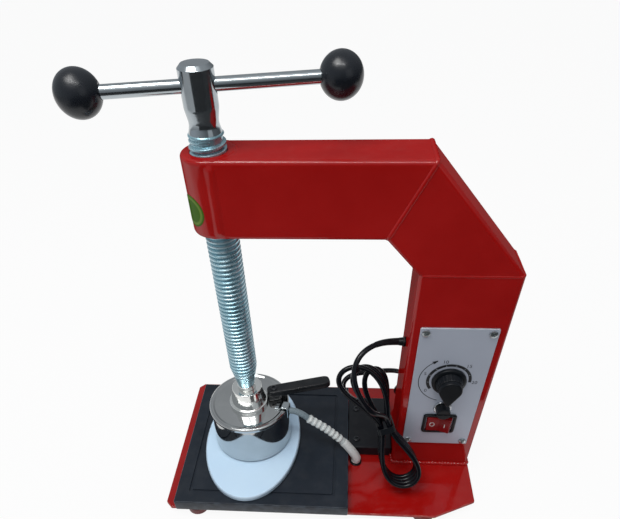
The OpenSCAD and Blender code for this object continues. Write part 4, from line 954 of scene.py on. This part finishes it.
# The boot's upper part is ribbed; the lower part is plain and widens to its root
RIBBED_SHARE, RIB_DEPTH = 0.55, 0.9
boot_line = resample(smooth(boot_route, 12), 0.35)
boot_share = np.linspace(0, 1, len(boot_line))
rib_wave = 0.5 - 0.5 * np.cos(2 * np.pi * BOOT_RIBS * np.clip(boot_share / RIBBED_SHARE, 0, 1))
past_ribs = np.maximum(boot_share - RIBBED_SHARE, 0)
plain_rise = np.clip(past_ribs / 0.06, 0, 1) * RIB_DEPTH
root_rise = np.clip(past_ribs / (1 - RIBBED_SHARE), 0, 1) ** 1.5 * (BOOT_ROOT_D - BOOT_D) / 2
boot_radius = BOOT_D / 2 - RIB_DEPTH + np.where(boot_share < RIBBED_SHARE, RIB_DEPTH * rib_wave ** 0.6,
                                                plain_rise + root_rise)
boot_radius = boot_radius * np.clip(0.75 + np.minimum(boot_share, 1 - boot_share) * 25, 0, 1)
boot_rubber = make_finish("boot_rubber", (0.42, 0.46, 0.46), (0.54, 0.58, 0.58), (0.45, 0.60), broad=60.0,
                          fine=900.0, worn=(0.70, 0.73, 0.72), wear=1.0, edge_breaks=None)
lead_boot = add_piece("lead_boot_ribbed", [sweep_patch(boot_line, circle(32), BACK, swell=boot_radius)],
                      boot_rubber, "boot_rubber", None, "lead_boot",
                      edge=[edge_rows(boot_radius > BOOT_D / 2 - 0.35)])
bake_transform(lead_boot)

moulded_black = make_finish("moulded_black", (0.0030, 0.0042, 0.0060), (0.0048, 0.0064, 0.0088),
                            (0.30, 0.44), broad=60.0, fine=1500.0, dust=0.005, shine=0.26)
# The grommet is black partly as moulded rubber and partly as painted shade round the foot of the boot.
grommet = lathe_patch(rod_profile(GROMMET_R, 0, GROMMET_H, [0.3, 0.9]), 48, upright(grommet_at))
add_piece("lead_grommet_ring", [grommet], moulded_black, "housing_plastic", "frame", "lead_grommet")

# Control panel: a pale anodised aluminium plate screwed over a window in the column, with a
# printed dial; the lines of print that named the unit are left off.
PANEL_X, PANEL_LOW, PANEL_W, PANEL_H, PANEL_T = 191.5, 37, 65, 151, 1.5
FRONT_Y = -TUBE_D / 2
FACE_Y = FRONT_Y - PANEL_T
KNOB_Z, FUSE_Z, SWITCH_Z = 128, 92, 69
PANEL_MID = PANEL_LOW + PANEL_H / 2
SCREW_IN = 5


def panel_axes(z, y=FACE_Y):
    """Point of the panel's face on its middle line at height z, with x to the right, y up and z
    outwards."""
    return (PANEL_X, y, z), RIGHT, UP, -BACK


panel_grey = make_finish("panel_grey", (0.395, 0.425, 0.500), (0.435, 0.465, 0.540), (0.32, 0.46),
                         metal=0.15, broad=14.0, fine=1700.0, bump=0.04, worn=(0.62, 0.65, 0.70), wear=0.6)
panel_rows = edge_profile(0, PANEL_T, 0.4, 3)
panel_plate = plate_patch(rounded_box_outline(PANEL_W, PANEL_H, 1.2), panel_rows,
                          panel_axes(PANEL_MID, FRONT_Y))
add_piece("panel_plate", [panel_plate], panel_grey, "panel_metal", "frame", "control_panel",
          edge=[edge_rows(panel_rows[:, 0] < 0.35)])
panel_heads = []
for x, z, turn in ((-1, -1, 0.2), (1, -1, 0.9), (-1, 1, 1.3), (1, 1, 0.5)):
    screw_at = (PANEL_X + x * (PANEL_W / 2 - SCREW_IN), FACE_Y, PANEL_MID + z * (PANEL_H / 2 - SCREW_IN))
    panel_heads.append(pan_patch(screw_at, -BACK, turn))
add_piece("panel_screw_heads", panel_heads, zinc_bolt, "zinc_steel", "frame", "panel_screws")
dress_node("timer_body", element_steel)
dress_node("timer_shaft", zinc_bolt)

# Dial print: a black scale arc with pale ticks, plain numbers and a thin arrow, printed on
# the panel round the timer's knob.
INK_T = 0.05


def ink_section(width):
    """Thin flat section of a printed stroke."""
    return rounded_box_outline(INK_T, width, INK_T / 4, 1)[0]


def ink_stroke(line, width, lift=INK_T / 2):
    """A printed stroke: a thin flat section carried along a line on the panel."""
    path = turned(at_height(np.asarray(line, float), lift), panel_axes(KNOB_Z))
    return sweep_patch(path, ink_section(width), -BACK)


def arc_line(radius, start, end):
    """Points on a circle about the knob from one angle to another, in degrees."""
    return radius * rays(np.radians(np.linspace(start, end, 48)))


SCALE_START, SCALE_END, SCALE_R, NUMBER_R, NUMBER_H = 215, -5, 18.8, 23.4, 5.2
ARROW_START, ARROW_END, ARROW_R = 255, 122, 27.0
arrow_out = rays(math.radians(ARROW_END))
arrow_back = arrow_out[::-1] * (-1, 1)
arrow_tip = ARROW_R * arrow_out
arrow_nose = arrow_tip - 1.5 * arrow_back
ink_patches = [ink_stroke(arc_line(SCALE_R, SCALE_START, SCALE_END), 2.8),
               ink_stroke(arc_line(ARROW_R, ARROW_START, ARROW_END), 0.75)]
ink_patches += [ink_stroke([arrow_nose, arrow_tip + 3.2 * arrow_back + side * 1.4 * arrow_out], 0.8)
                for side in (-1, 1)]
ink_patches.append(ink_stroke([arrow_nose, arrow_tip + 3.0 * arrow_back], 1.4))
dial_mesh = make_mesh("dial_print", ink_patches)
number_join = bmesh.new()
number_join.from_mesh(dial_mesh)


def matrix_of(place, *ways):
    """Matrix that carries the axes to the three ways and the origin to the place."""
    return Matrix([*np.column_stack([*ways, place]).tolist(), (0, 0, 0, 1)])


scale_angles = np.radians(np.linspace(SCALE_START, SCALE_END, 9))
for label, angle in zip(("0", "5", "10", "15", "20"), scale_angles[::2]):
    letter = bpy.data.curves.new("number_" + label, "FONT")
    letter.body = label
    letter.size = NUMBER_H * MM
    letter.align_x = "CENTER"
    letter.align_y = "CENTER"
    letter.extrude = INK_T / 2 * MM
    holder = add_object("number_" + label, letter)
    bpy.context.view_layer.update()
    flat_mesh = bpy.data.meshes.new_from_object(holder.evaluated_get(bpy.context.evaluated_depsgraph_get()))
    spot = turned(np.append(NUMBER_R * rays(angle), INK_T / 2), panel_axes(KNOB_Z))
    flat_mesh.transform(matrix_of(to_frame(spot), *panel_axes(KNOB_Z)[1:]))
    number_join.from_mesh(flat_mesh)
    bpy.data.objects.remove(holder)
    bpy.data.curves.remove(letter)
number_join.to_mesh(dial_mesh)
number_join.free()
ink_black = make_finish("ink_black", (0.010, 0.011, 0.014), (0.018, 0.019, 0.022), (0.45, 0.60),
                        fine=1500.0, bump=0.02)
add_piece("dial_print", dial_mesh, ink_black, "housing_plastic", "frame")
ink_pale = make_finish("ink_pale", (0.42, 0.45, 0.50), (0.52, 0.55, 0.60), (0.45, 0.60), fine=1500.0,
                       bump=0.02)
ticks = [ink_stroke(np.outer((SCALE_R - 0.9, SCALE_R + 0.4), rays(angle)), 0.4, INK_T * 1.6)
         for angle in scale_angles[1:-1]]
add_piece("dial_ticks", ticks, ink_pale, "panel_metal", "frame")

# Timer knob: a black moulded knob with a skirt, a fluted body and a raised pointer, pressed on
# the timer's shaft.
KNOB_R, KNOB_GAP, SKIRT_H, KNOB_H, FLUTES = 15.5, 0.4, 4, 15, 28


def knob_body_patch():
    """Skirt and body of revolution; the body's radius has a shallow wave of flutes."""
    skirt_top = KNOB_GAP + SKIRT_H
    skirt = soft_profile([(0, KNOB_GAP), (KNOB_R, KNOB_GAP), (KNOB_R, skirt_top - 1),
                          (KNOB_R - 2.2, skirt_top), (12.6, skirt_top)], [0.4, 1.2, 0.6])
    body = soft_profile([(12.2, skirt_top), (11.0, KNOB_GAP + 11), (0, KNOB_GAP + 11.4)], 1.2, 6)
    profile = np.concatenate([skirt, body])
    sides = FLUTES * 6
    grid, *wraps = lathe_patch(profile, sides)
    flute = 0.28 * np.maximum(np.cos(FLUTES * np.arange(sides) * 2 * np.pi / sides), -0.4)
    on_side = ((profile[:, 0] > 9) & (profile[:, 1] > skirt_top + 0.3))[:, None]
    grid[..., :2] *= (1 + np.where(on_side, flute / 12, 0))[..., None]
    return turned(grid, panel_axes(KNOB_Z)), *wraps


def pointer_outline():
    """Pointer seen from the front: a round end and a small round tip below it, joined by the
    lines that touch both."""
    round_r, tip_r, reach = KNOB_R * 2 / 3, KNOB_R / 7, 17
    lean = math.asin((round_r - tip_r) / reach)
    top = rays(np.linspace(-lean, math.pi + lean, 40))
    tip = rays(np.linspace(math.pi + lean, 2 * math.pi - lean, 12))
    return np.concatenate([top * round_r, tip * tip_r + (0, -reach)]), np.concatenate([top, tip])


pointer_rows = edge_profile(KNOB_GAP + 1, KNOB_GAP + KNOB_H, 1.2, 5)
knob = [knob_body_patch(), plate_patch(pointer_outline(), pointer_rows, panel_axes(KNOB_Z))]
add_piece("timer_knob_moulded", knob, moulded_black, "handle_plastic", "knob", "timer_knob")

# Fuse holder: a round flange on the panel with a bright ring, and a black bayonet cap with a
# knurled side and a slot across its top.
fuse_ring_finish = make_finish("fuse_ring_finish", (0.50, 0.52, 0.55), (0.62, 0.64, 0.67), (0.2, 0.35),
                               metal=1.0, fine=800.0)
FUSE_FLANGE_R, FUSE_FLANGE_H, FUSE_R, FUSE_DEEP = 8.5, 2, 5.5, 8
FUSE_CAP_R, FUSE_CAP_H, FUSE_RIBS = 6.75, 8, 24
fuse_flange = lathe_patch(soft_profile([(0, -FUSE_DEEP), (FUSE_R, -FUSE_DEEP), (FUSE_R, 0),
                                        (FUSE_FLANGE_R, 0), (FUSE_FLANGE_R, FUSE_FLANGE_H),
                                        (0, FUSE_FLANGE_H)], [0.3, 0.1, 0.2, 0.8]), 64, panel_axes(FUSE_Z))
add_piece("fuse_flange", [fuse_flange], fuse_ring_finish, "housing_plastic", "frame", "fuse_holder")


def fuse_cap_patch():
    """Cap: a turned shape whose side has fine ribs and whose top is lowered along a slot."""
    low = FUSE_FLANGE_H + SEAT_GAP
    high = low + FUSE_CAP_H
    side = soft_profile([(0, low), (FUSE_CAP_R, low), (FUSE_CAP_R - 0.3, high), (FUSE_CAP_R - 1.4, high)],
                        [0.3, 0.8])
    top = np.stack([np.linspace(FUSE_CAP_R - 1.5, 0, 20), np.full(20, high)], 1)
    profile = np.concatenate([side, top])
    radius, height = profile.T
    sides = FUSE_RIBS * 5
    grid, *wraps = lathe_patch(profile, sides)
    rib = 0.5 - 0.5 * np.cos(FUSE_RIBS * np.arange(sides) * 2 * np.pi / sides)
    on_side = ((radius > FUSE_CAP_R - 0.5) & (height > low + 0.5) & (height < high - 0.4))[:, None]
    grid[..., :2] *= (1 - np.where(on_side, 0.025 * rib, 0))[..., None]
    in_slot = np.clip((0.85 - np.abs(grid[..., 1])) / 0.15, 0, 1) * (grid[..., 2] > high - 0.5)
    grid[..., 2] -= 1.2 * in_slot
    return turned(grid, panel_axes(FUSE_Z)), *wraps


add_piece("fuse_cap_knurled", [fuse_cap_patch()], moulded_black, "housing_plastic", "fuse", "fuse_cap",
          sharp=45)

# Switch: a black snap-in bezel with a well, and a red rocker that tips in it about an upright
# pin, marked I and O; its right side is out at rest.
BEZEL_W, BEZEL_H, ROCKER_TILT, PIN_DEEP = 32, 26, math.radians(10), 2
bezel_rows = [(1.5, -23.5), (1.5, 0), (0, 0), (0, 1.2), (0.1, 1.65), (0.35, 1.9), (0.8, 2.0), (2.5, 2.0),
              (2.85, 1.85), (3.0, 1.5), (3.0, -9)]
bezel = plate_patch(rounded_box_outline(BEZEL_W, BEZEL_H, 3.3), bezel_rows, panel_axes(SWITCH_Z))
add_piece("switch_bezel", [bezel], moulded_black, "housing_plastic", "frame", "switch_housing")
rocker_at = np.array([PANEL_X, FACE_Y + PIN_DEEP, SWITCH_Z])
rocker_x = level_way(-ROCKER_TILT)
rocker_out = np.cross(rocker_x, UP)
ROCKER_LOW, ROCKER_R, ROCKER_HALF, CORNER_X, MARK_X = 4.3, 12.5, 9.5, 10.85, 6
corner_turn = math.degrees(math.atan2(ROCKER_LOW + CORNER_X * math.tan(ROCKER_TILT), CORNER_X))
flank_line = ROCKER_R * rays(np.radians(np.linspace(-9.2, corner_turn, 7)))
rocker_corners = np.concatenate([flank_line, [(0, ROCKER_LOW)], flank_line[::-1] * (-1, 1)])
rocker_radii = [*[0.05] * 6, 0.7, 0, 0.7, *[0.05] * 6]
rocker_body = plate_patch(rounded_outline(rocker_corners, rocker_radii, 3),
                          edge_profile(-ROCKER_HALF, ROCKER_HALF, 0.7),
                          (rocker_at, rocker_x, rocker_out, np.cross(rocker_x, rocker_out)))
rocker_red = make_finish("rocker_red", (0.170, 0.0035, 0.0050), (0.215, 0.0055, 0.0070), (0.22, 0.34),
                         fine=900.0, bump=0.03, shine=0.16)
add_piece("rocker_cap", [rocker_body], rocker_red, "rocker_plastic", "rocker", "switch_rocker")


def rocker_mark(side, line, closed):
    """A pale mark on one half of the rocker's face: a line of (across, up) points laid on the slope."""
    across, up = np.asarray(line, float).T[:, :, None]
    rise = math.tan(ROCKER_TILT)
    on_face = (side * MARK_X, ROCKER_LOW + MARK_X * rise + 0.03) + across * unit([1, side * rise])
    path = turned(np.concatenate([on_face, up], 1), (rocker_at, rocker_x, rocker_out, UP))
    return sweep_patch(path, ink_section(0.8), rocker_out, closed)


ink_white = make_finish("ink_white", (0.55, 0.50, 0.49), (0.65, 0.60, 0.58), (0.4, 0.5), fine=1200.0,
                        bump=0.02)
on_mark = rocker_mark(1, [(0, -2.6), (0, 2.6)], False)
off_mark = rocker_mark(-1, circle(32) * (2.2, 2.6), True)
add_piece("rocker_marks", [on_mark, off_mark], ink_white, "rocker_plastic", "rocker")

# Cord entry: a small hexagonal gland nut of black plastic in the column's left face, with a
# short sleeve and a slim tapered strain relief that follows the cord.
CORD_D, GLAND_Z, NUT_R, NUT_H = 5, 155, 5, 2.5
gland_axes = ((PANEL_X - COLUMN_W / 2, 0, GLAND_Z), BACK, UP, -RIGHT)
hex_corners = NUT_R * rays(np.radians(np.arange(6) * 60 + 30))
gland_nut = plate_patch(rounded_outline(hex_corners, 0.8, 3), edge_profile(0, NUT_H, 0.5, 3), gland_axes)
gland_sleeve = lathe_patch(soft_profile([(0, 2.4), (3.9, 2.4), (3.5, 6.5), (0, 6.5)], [0.2, 0.7]), 48,
                           gland_axes)

# Mains cord: round black rubber cord, folded in a hank whose loops cross at a narrow waist,
# bound there by a band; its free end runs behind the column to a moulded plug on the base.
HANK_TURNS, WAIST_HALF_W, WAIST_RUN, HANK_STEP = 3.5, 3.4, 0.08, 5.9
LOW_L, LOW_W, LOW_FAN = 70, 21, 6
FIRST_L, FIRST_W, FIRST_FAN = 78, 23, 27
LAST_L, LAST_W, LAST_FAN = 55, 10, -13
hank_mid = np.array([138, -30, 74])
hank_long = unit([-42, 54, 126])
hank_deep = np.array([8.0, 64.0, -77.0])
hank_deep = unit(hank_deep - hank_long * (hank_deep @ hank_long))
hank_wide = -np.cross(hank_long, hank_deep)


def hank_points(turns):
    """Loops of the hank: each turn runs along the hank's length as a sine and across it as a
    cosine whose width grows from the waist to the ends, one step deeper a turn. The upper loops
    go from the first length, width and lean to the last ones; the lower loops are alike."""
    turns = turns[:, None]
    along, side, share = -np.sin(2 * np.pi * turns), np.cos(2 * np.pi * turns), turns / HANK_TURNS
    upper = along > 0
    length = np.where(upper, FIRST_L + (LAST_L - FIRST_L) * share, LOW_L)
    end_width = np.where(upper, FIRST_W + (LAST_W - FIRST_W) * share, LOW_W)
    lean = np.radians(np.where(upper, FIRST_FAN + (LAST_FAN - FIRST_FAN) * share, LOW_FAN)) * np.abs(along)
    swell = np.clip(np.abs(along) - WAIST_RUN, 0, 1) / (1 - WAIST_RUN)
    half_width = WAIST_HALF_W + (end_width - WAIST_HALF_W) * np.sin(np.pi / 2 * swell)
    across = side * (1.9 - 0.9 * np.abs(side)) * half_width
    run = along * length
    long_part = (run * np.cos(lean) + across * np.sin(lean)) * hank_long
    wide_part = (across * np.cos(lean) - run * np.sin(lean)) * hank_wide
    return hank_mid + long_part + wide_part + HANK_STEP * (turns - HANK_TURNS / 2) * hank_deep


hank_line = hank_points(np.linspace(0, HANK_TURNS, 700))
cord_end, hank_end = hank_line[[0, -1]] + hank_long * CORD_D
cord_route = [(144.7, 0, 155), (140, 0, 155), (130, -5, 158), (119, -12, 158.5), (109.5, -20, 155),
              (105, -28, 146), (106.5, -36, 133), (115, -43, 117), (125, -45, 105),
              cord_end + hank_long * 2 * CORD_D, cord_end + hank_long * CORD_D, cord_end]
PLUG_AT = np.array([172.0, 70.0, 11.0])
tail_route = [hank_end, hank_end + hank_long * CORD_D, (118, -7, 78), (106, -8, 85), (96, -3, 92),
              (95, 6, 97), (105, 13, 100), (118, 15, 101), (131, 18, 100), (143, 28, 92), (157, 37, 82),
              (166, 50, 60), (162, 61, 38), (157.5, 68, 21), (160, 70, 12.5), PLUG_AT - CORD_D * RIGHT,
              PLUG_AT - CORD_GAP * RIGHT]
CORD_STEP, CORD_EASE = 1.6, 5


def eased(path, reach):
    """Line with its bends eased: each point becomes the mean of the points near it, weighted by a
    bell curve of the reach, counted in points. Past its ends the line goes on as its mirror."""
    span = 3 * reach
    before = 2 * path[:1] - path[span:0:-1]
    after = 2 * path[-1:] - path[-2:-span - 2:-1]
    weight = np.exp(-0.5 * (np.arange(-span, span + 1) / reach) ** 2)
    longer = np.concatenate([before, path, after])
    return np.stack([np.convolve(longer[:, k], weight / weight.sum(), "valid") for k in range(3)], 1)


cord_rough = np.concatenate([smooth(cord_route, 10), hank_line, smooth(tail_route, 10)])
cord_line = resample(eased(resample(cord_rough, CORD_STEP), CORD_EASE), CORD_STEP)


def cord_patch(line, radius):
    """Round cord: a circle of the radius at each point of the line, closed at both ends. The
    circle's first direction turns as little as it can from one point to the next."""
    way = unit(np.gradient(line, axis=0))
    across = np.zeros_like(way)
    across[0] = unit(np.cross(way[0], (0.3, 0.5, 0.8)))
    for i in range(1, len(way)):
        across[i] = unit(across[i - 1] - way[i] * (across[i - 1] @ way[i]))
    over = np.cross(way, across)
    cosine, sine = circle(20).T[:, None, :, None]
    ring = cosine * across[:, None] + sine * over[:, None]
    return capped(line[:, None] + np.broadcast_to(radius, len(line))[:, None, None] * ring, line[[0, -1]])


RELIEF_L, RELIEF_THICK, RELIEF_THIN = 22, 3.35, 2.7
relief_line = cord_line[:round(RELIEF_L / CORD_STEP) + 1]
gland_relief = cord_patch(relief_line, np.linspace(RELIEF_THICK, RELIEF_THIN, len(relief_line)))
add_piece("gland_moulded", [gland_nut, gland_sleeve, gland_relief], moulded_black, "housing_plastic",
          "frame", "cord_gland")
cord_rubber = make_finish("cord_rubber", (0.0016, 0.0021, 0.0040), (0.0028, 0.0034, 0.0058), (0.18, 0.30),
                          broad=30.0, fine=700.0, bump=0.03, dust=0.004, shine=0.28)
mains_cord = add_piece("mains_cord_rubber", [cord_patch(cord_line, CORD_D / 2)], cord_rubber, "cord_rubber",
                       "frame", "power_cord", "cord_hank", "cord_tail", sharp=80)

# Cord tie: a band of black plastic drawn round the hank's waist. Its size comes from the strands
# that it holds.
TIE_W, TIE_T, TIE_GAP, TIE_R = 6, 1.2, 0.2, 4
# Half the sizes of the box about the waist in which a strand counts as held
TIE_NEAR = (TIE_W / 2 + 1, 12, 20)
cord_at_tie = (cord_line - hank_mid) @ np.stack([hank_long, hank_wide, hank_deep], 1)
in_tie = (np.abs(cord_at_tie) < TIE_NEAR).all(1)
tie_half_x, tie_half_y = np.abs(cord_at_tie[in_tie, 1:]).max(0) + CORD_D / 2 + TIE_GAP + TIE_T
tie_points, tie_out = rounded_box_outline(tie_half_x * 2, tie_half_y * 2, TIE_R, 8)
tie_rows = np.array([(0, -TIE_W / 2), (0, TIE_W / 2), (TIE_T, TIE_W / 2), (TIE_T, -TIE_W / 2)])[:, :, None]
tie_ring = at_height(tie_points - tie_rows[:, :1] * tie_out, tie_rows[:, 1:])
tie_axes = (hank_mid, hank_wide, hank_deep, np.cross(hank_wide, hank_deep))
cord_tie = add_piece("cord_tie_band", [(turned(tie_ring, tie_axes), True, True)], moulded_black,
                     "cord_rubber", "frame", "cord_tie")

# Plug: a moulded two-pin plug with finger ribs and plated brass pins, which lies on the base
# where the cord's end comes to rest.
PLUG_NECK, PLUG_NECK_R, PLUG_L, PLUG_W, PLUG_H, PIN_R, PIN_L, PIN_APART = 8, 4.5, 38, 34, 22, 2.4, 19, 19


def plug_patch():
    """Sections across the plug: superellipses that grow from the round neck to the full body;
    the sides have five ribs."""
    run = np.concatenate([np.linspace(0, PLUG_NECK, 14), np.linspace(PLUG_NECK, PLUG_L - 1, 90)[1:],
                          PLUG_L - 1 + np.sin(np.linspace(0, np.pi / 2, 6))[1:]])[:, None]
    grow = np.clip((run - PLUG_NECK) / 9, 0, 1)
    grow = grow * grow * (3 - 2 * grow)
    rib = np.where((run > 19) & (run < 33), 0.7 * (0.5 - 0.5 * np.cos(2 * np.pi * (run - 19) / 2.8)), 0)
    end = 1 - np.clip(run - (PLUG_L - 1), 0, 1) ** 2 * 0.06
    half_w = (PLUG_NECK_R + (PLUG_W / 2 - PLUG_NECK_R) * grow - rib) * end
    half_h = (PLUG_NECK_R + (PLUG_H / 2 - PLUG_NECK_R) * grow) * end
    power = 2 / (2 + 1.6 * grow)
    cosine, sine = circle(72).T
    y, z = half_w * signed_power(cosine, power), half_h * signed_power(sine, power)
    return capped(PLUG_AT + np.stack(np.broadcast_arrays(run, y, z), -1), PLUG_AT + run[[0, -1]] * RIGHT)


plug = add_piece("plug_moulded", [plug_patch()], moulded_black, "cord_rubber", "frame", "plug_body")
pin_profile = rod_profile(PIN_R, PLUG_L - 2, PLUG_L + PIN_L, [0.1, 2.0], 6)
pins = [lathe_patch(pin_profile, 32, (PLUG_AT + side * PIN_APART / 2 * BACK, BACK, UP, RIGHT))
        for side in (-1, 1)]
pin_brass = make_finish("pin_brass", (0.62, 0.60, 0.55), (0.74, 0.71, 0.64), (0.18, 0.32), metal=1.0)
plug_pins = add_piece("plug_pins_plated", pins, pin_brass, "pin_brass", "frame", "plug_pins")

# Room: a white floor that keeps the object's shadow, a grey surrounding for the bright metal to
# reflect, and three soft lights. The floor's white reaches as far as the camera sees and fades
# out round that.
FLOOR_HALF, FLOOR_GREY, FLOOR_WHITE = 6.0, (0.75, 0.75, 0.75, 1), 0.93
WHITE_MIDDLE, WHITE_REACH, WHITE_END = (-0.25, 2.35, 0), 2.5, 2.8
floor_mesh = bpy.data.meshes.new("floor")
floor_corners = np.array([(-1, -1, 0), (1, -1, 0), (1, 1, 0), (-1, 1, 0)]) * FLOOR_HALF
floor_mesh.from_pydata(floor_corners.tolist(), [], [(0, 1, 2, 3)])
floor = add_object("floor", floor_mesh)
floor_finish, floor_tree, floor_shader = new_material("floor_white")
feed(floor_tree, floor_shader, {"Base Color": FLOOR_GREY, "Roughness": 0.9, "Specular IOR Level": 0.1})
seen = add_node(floor_tree, "LightPath")
seen_share = worked(floor_tree, "MAXIMUM", seen["Is Camera Ray"], seen["Is Glossy Ray"])
seen_share = worked(floor_tree, "MAXIMUM", seen_share, seen["Is Transmission Ray"])
floor_place = add_node(floor_tree, "TexCoord")["Object"]
floor_reach = add_node(floor_tree, "VectorMath", {0: floor_place, 1: WHITE_MIDDLE},
                       operation="DISTANCE")["Value"]
white_share = ranged(floor_tree, floor_reach, WHITE_REACH, WHITE_END, FLOOR_WHITE, 0.0)
white_share = worked(floor_tree, "MULTIPLY", white_share, seen_share)
floor_glow = add_node(floor_tree, "Emission", {"Color": (1, 1, 1, 1), "Strength": 1.0})["Emission"]
floor_mix = add_node(floor_tree, "MixShader", {0: white_share, 1: floor_shader.outputs["BSDF"],
                                               2: floor_glow})
feed(floor_tree, floor_tree.nodes["Material Output"], {"Surface": floor_mix["Shader"]})
floor_mesh.materials.append(floor_finish)

OVERHEAD_WAY = (0, -0.40, 0.917)
world = bpy.data.worlds.new("studio")
bpy.context.scene.world = world
world.use_nodes = True
sky_tree = world.node_tree
look = add_node(sky_tree, "TexCoord")["Generated"]
look_way = add_node(sky_tree, "SeparateXYZ", {0: look})
leftness = ranged(sky_tree, look_way["X"], 0.3, -0.9)
low_colour = mix_colour(sky_tree, leftness, (0.10, 0.11, 0.12, 1), (0.45, 0.49, 0.53, 1))
sky_colour = mix_colour(sky_tree, ranged(sky_tree, look_way["Z"], 0.0, 0.8), low_colour,
                        (0.42, 0.44, 0.46, 1))
over_front = add_node(sky_tree, "VectorMath", {0: look, 1: OVERHEAD_WAY}, operation="DOT_PRODUCT")["Value"]
sky_colour = mix_colour(sky_tree, ranged(sky_tree, over_front, 0.86, 0.95), sky_colour,
                        (1.0, 1.02, 1.04, 1))
feed(sky_tree, sky_tree.nodes["Background"], {"Color": sky_colour, "Strength": 1.0})


def add_light(name, place, size, depth, power, colour=(1, 1, 1), target=(0.0, 0.0, 0.15)):
    """A soft rectangular light at a place, facing the target."""
    lamp = bpy.data.lights.new(name, "AREA")
    lamp.shape = "RECTANGLE"
    lamp.size = size
    lamp.size_y = depth
    lamp.energy = power
    lamp.color = colour
    holder = add_object(name, lamp)
    holder.location = place
    holder.rotation_euler = (Vector(target) - Vector(place)).to_track_quat("-Z", "Y").to_euler()


add_light("key_light", (-0.40, -0.25, 1.50), 0.6, 0.6, 7.2, (1.0, 0.99, 0.97))
add_light("fill_light", (1.1, -1.1, 0.9), 1.0, 1.0, 1.2, (0.94, 0.97, 1.0))
add_light("strip_light", (-0.06, -0.45, 1.35), 0.80, 0.05, 3.2)

# Dark cards: a board that lies in front and two that stand in front and at the right, seen by
# reflections alone, which give the bright metal and the enamel their dark bands.
CARD_LOW, CARD_HIGH = 0.01, 0.36
card_plan = np.array([(-0.50, -0.80), (0.90, -0.80), (1.00, 0.35)])
card_flat = np.array([(-0.70, -0.40), (0.0, -0.40), (0.0, -0.12), (0.95, -0.12), (0.0, -0.80)])
card_points = [at_height(card_plan, CARD_LOW), at_height(card_plan, CARD_HIGH),
               at_height(card_flat, CARD_LOW)]
card_faces = [(0, 1, 4, 3), (1, 2, 5, 4), (0, 10, 7, 6), (10, 1, 9, 8)]
card_mesh = bpy.data.meshes.new("dark_cards")
card_mesh.from_pydata(np.concatenate(card_points).tolist(), [], card_faces)
card_finish, card_tree, card_shader = new_material("card_black")
feed(card_tree, card_shader, {"Base Color": (0.055, 0.056, 0.058, 1), "Roughness": 0.9})
card_mesh.materials.append(card_finish)
cards = add_object("dark_cards", card_mesh)
cards.visible_camera = False
cards.visible_diffuse = False
cards.visible_shadow = False
cards.visible_transmission = False

# Camera: the place and lens that the photograph's edges fit, with the photograph's cut-off lower
# field as a lens shift.
FOCAL_PX, PHOTO_W, CENTRE_X, CENTRE_Y, SENSOR_MM = 511.783, 620, -1.180, 126.472, 36
PITCH, YAW, ROLL = (math.radians(angle) for angle in (45.610, -4.958, -2.226))
CAMERA_AT = (93.334, -355.060, 458.898)
forward = math.cos(PITCH) * level_way(math.pi / 2 - YAW) - math.sin(PITCH) * UP
level_right = level_way(-YAW)
level_up = np.cross(level_right, forward)
right = math.cos(ROLL) * level_right + math.sin(ROLL) * level_up
upward = -math.sin(ROLL) * level_right + math.cos(ROLL) * level_up
camera_data = bpy.data.cameras.new("camera")
camera_data.sensor_fit = "HORIZONTAL"
camera_data.sensor_width = SENSOR_MM
camera_data.lens = FOCAL_PX * SENSOR_MM / PHOTO_W
camera_data.shift_x = -CENTRE_X / PHOTO_W
camera_data.shift_y = CENTRE_Y / PHOTO_W
camera_data.clip_start = 0.02
camera = add_object("camera", camera_data)
camera.matrix_world = matrix_of(to_frame(CAMERA_AT), right, upward, -forward)
bpy.context.scene.camera = camera
bpy.context.scene.view_settings.view_transform = "Standard"
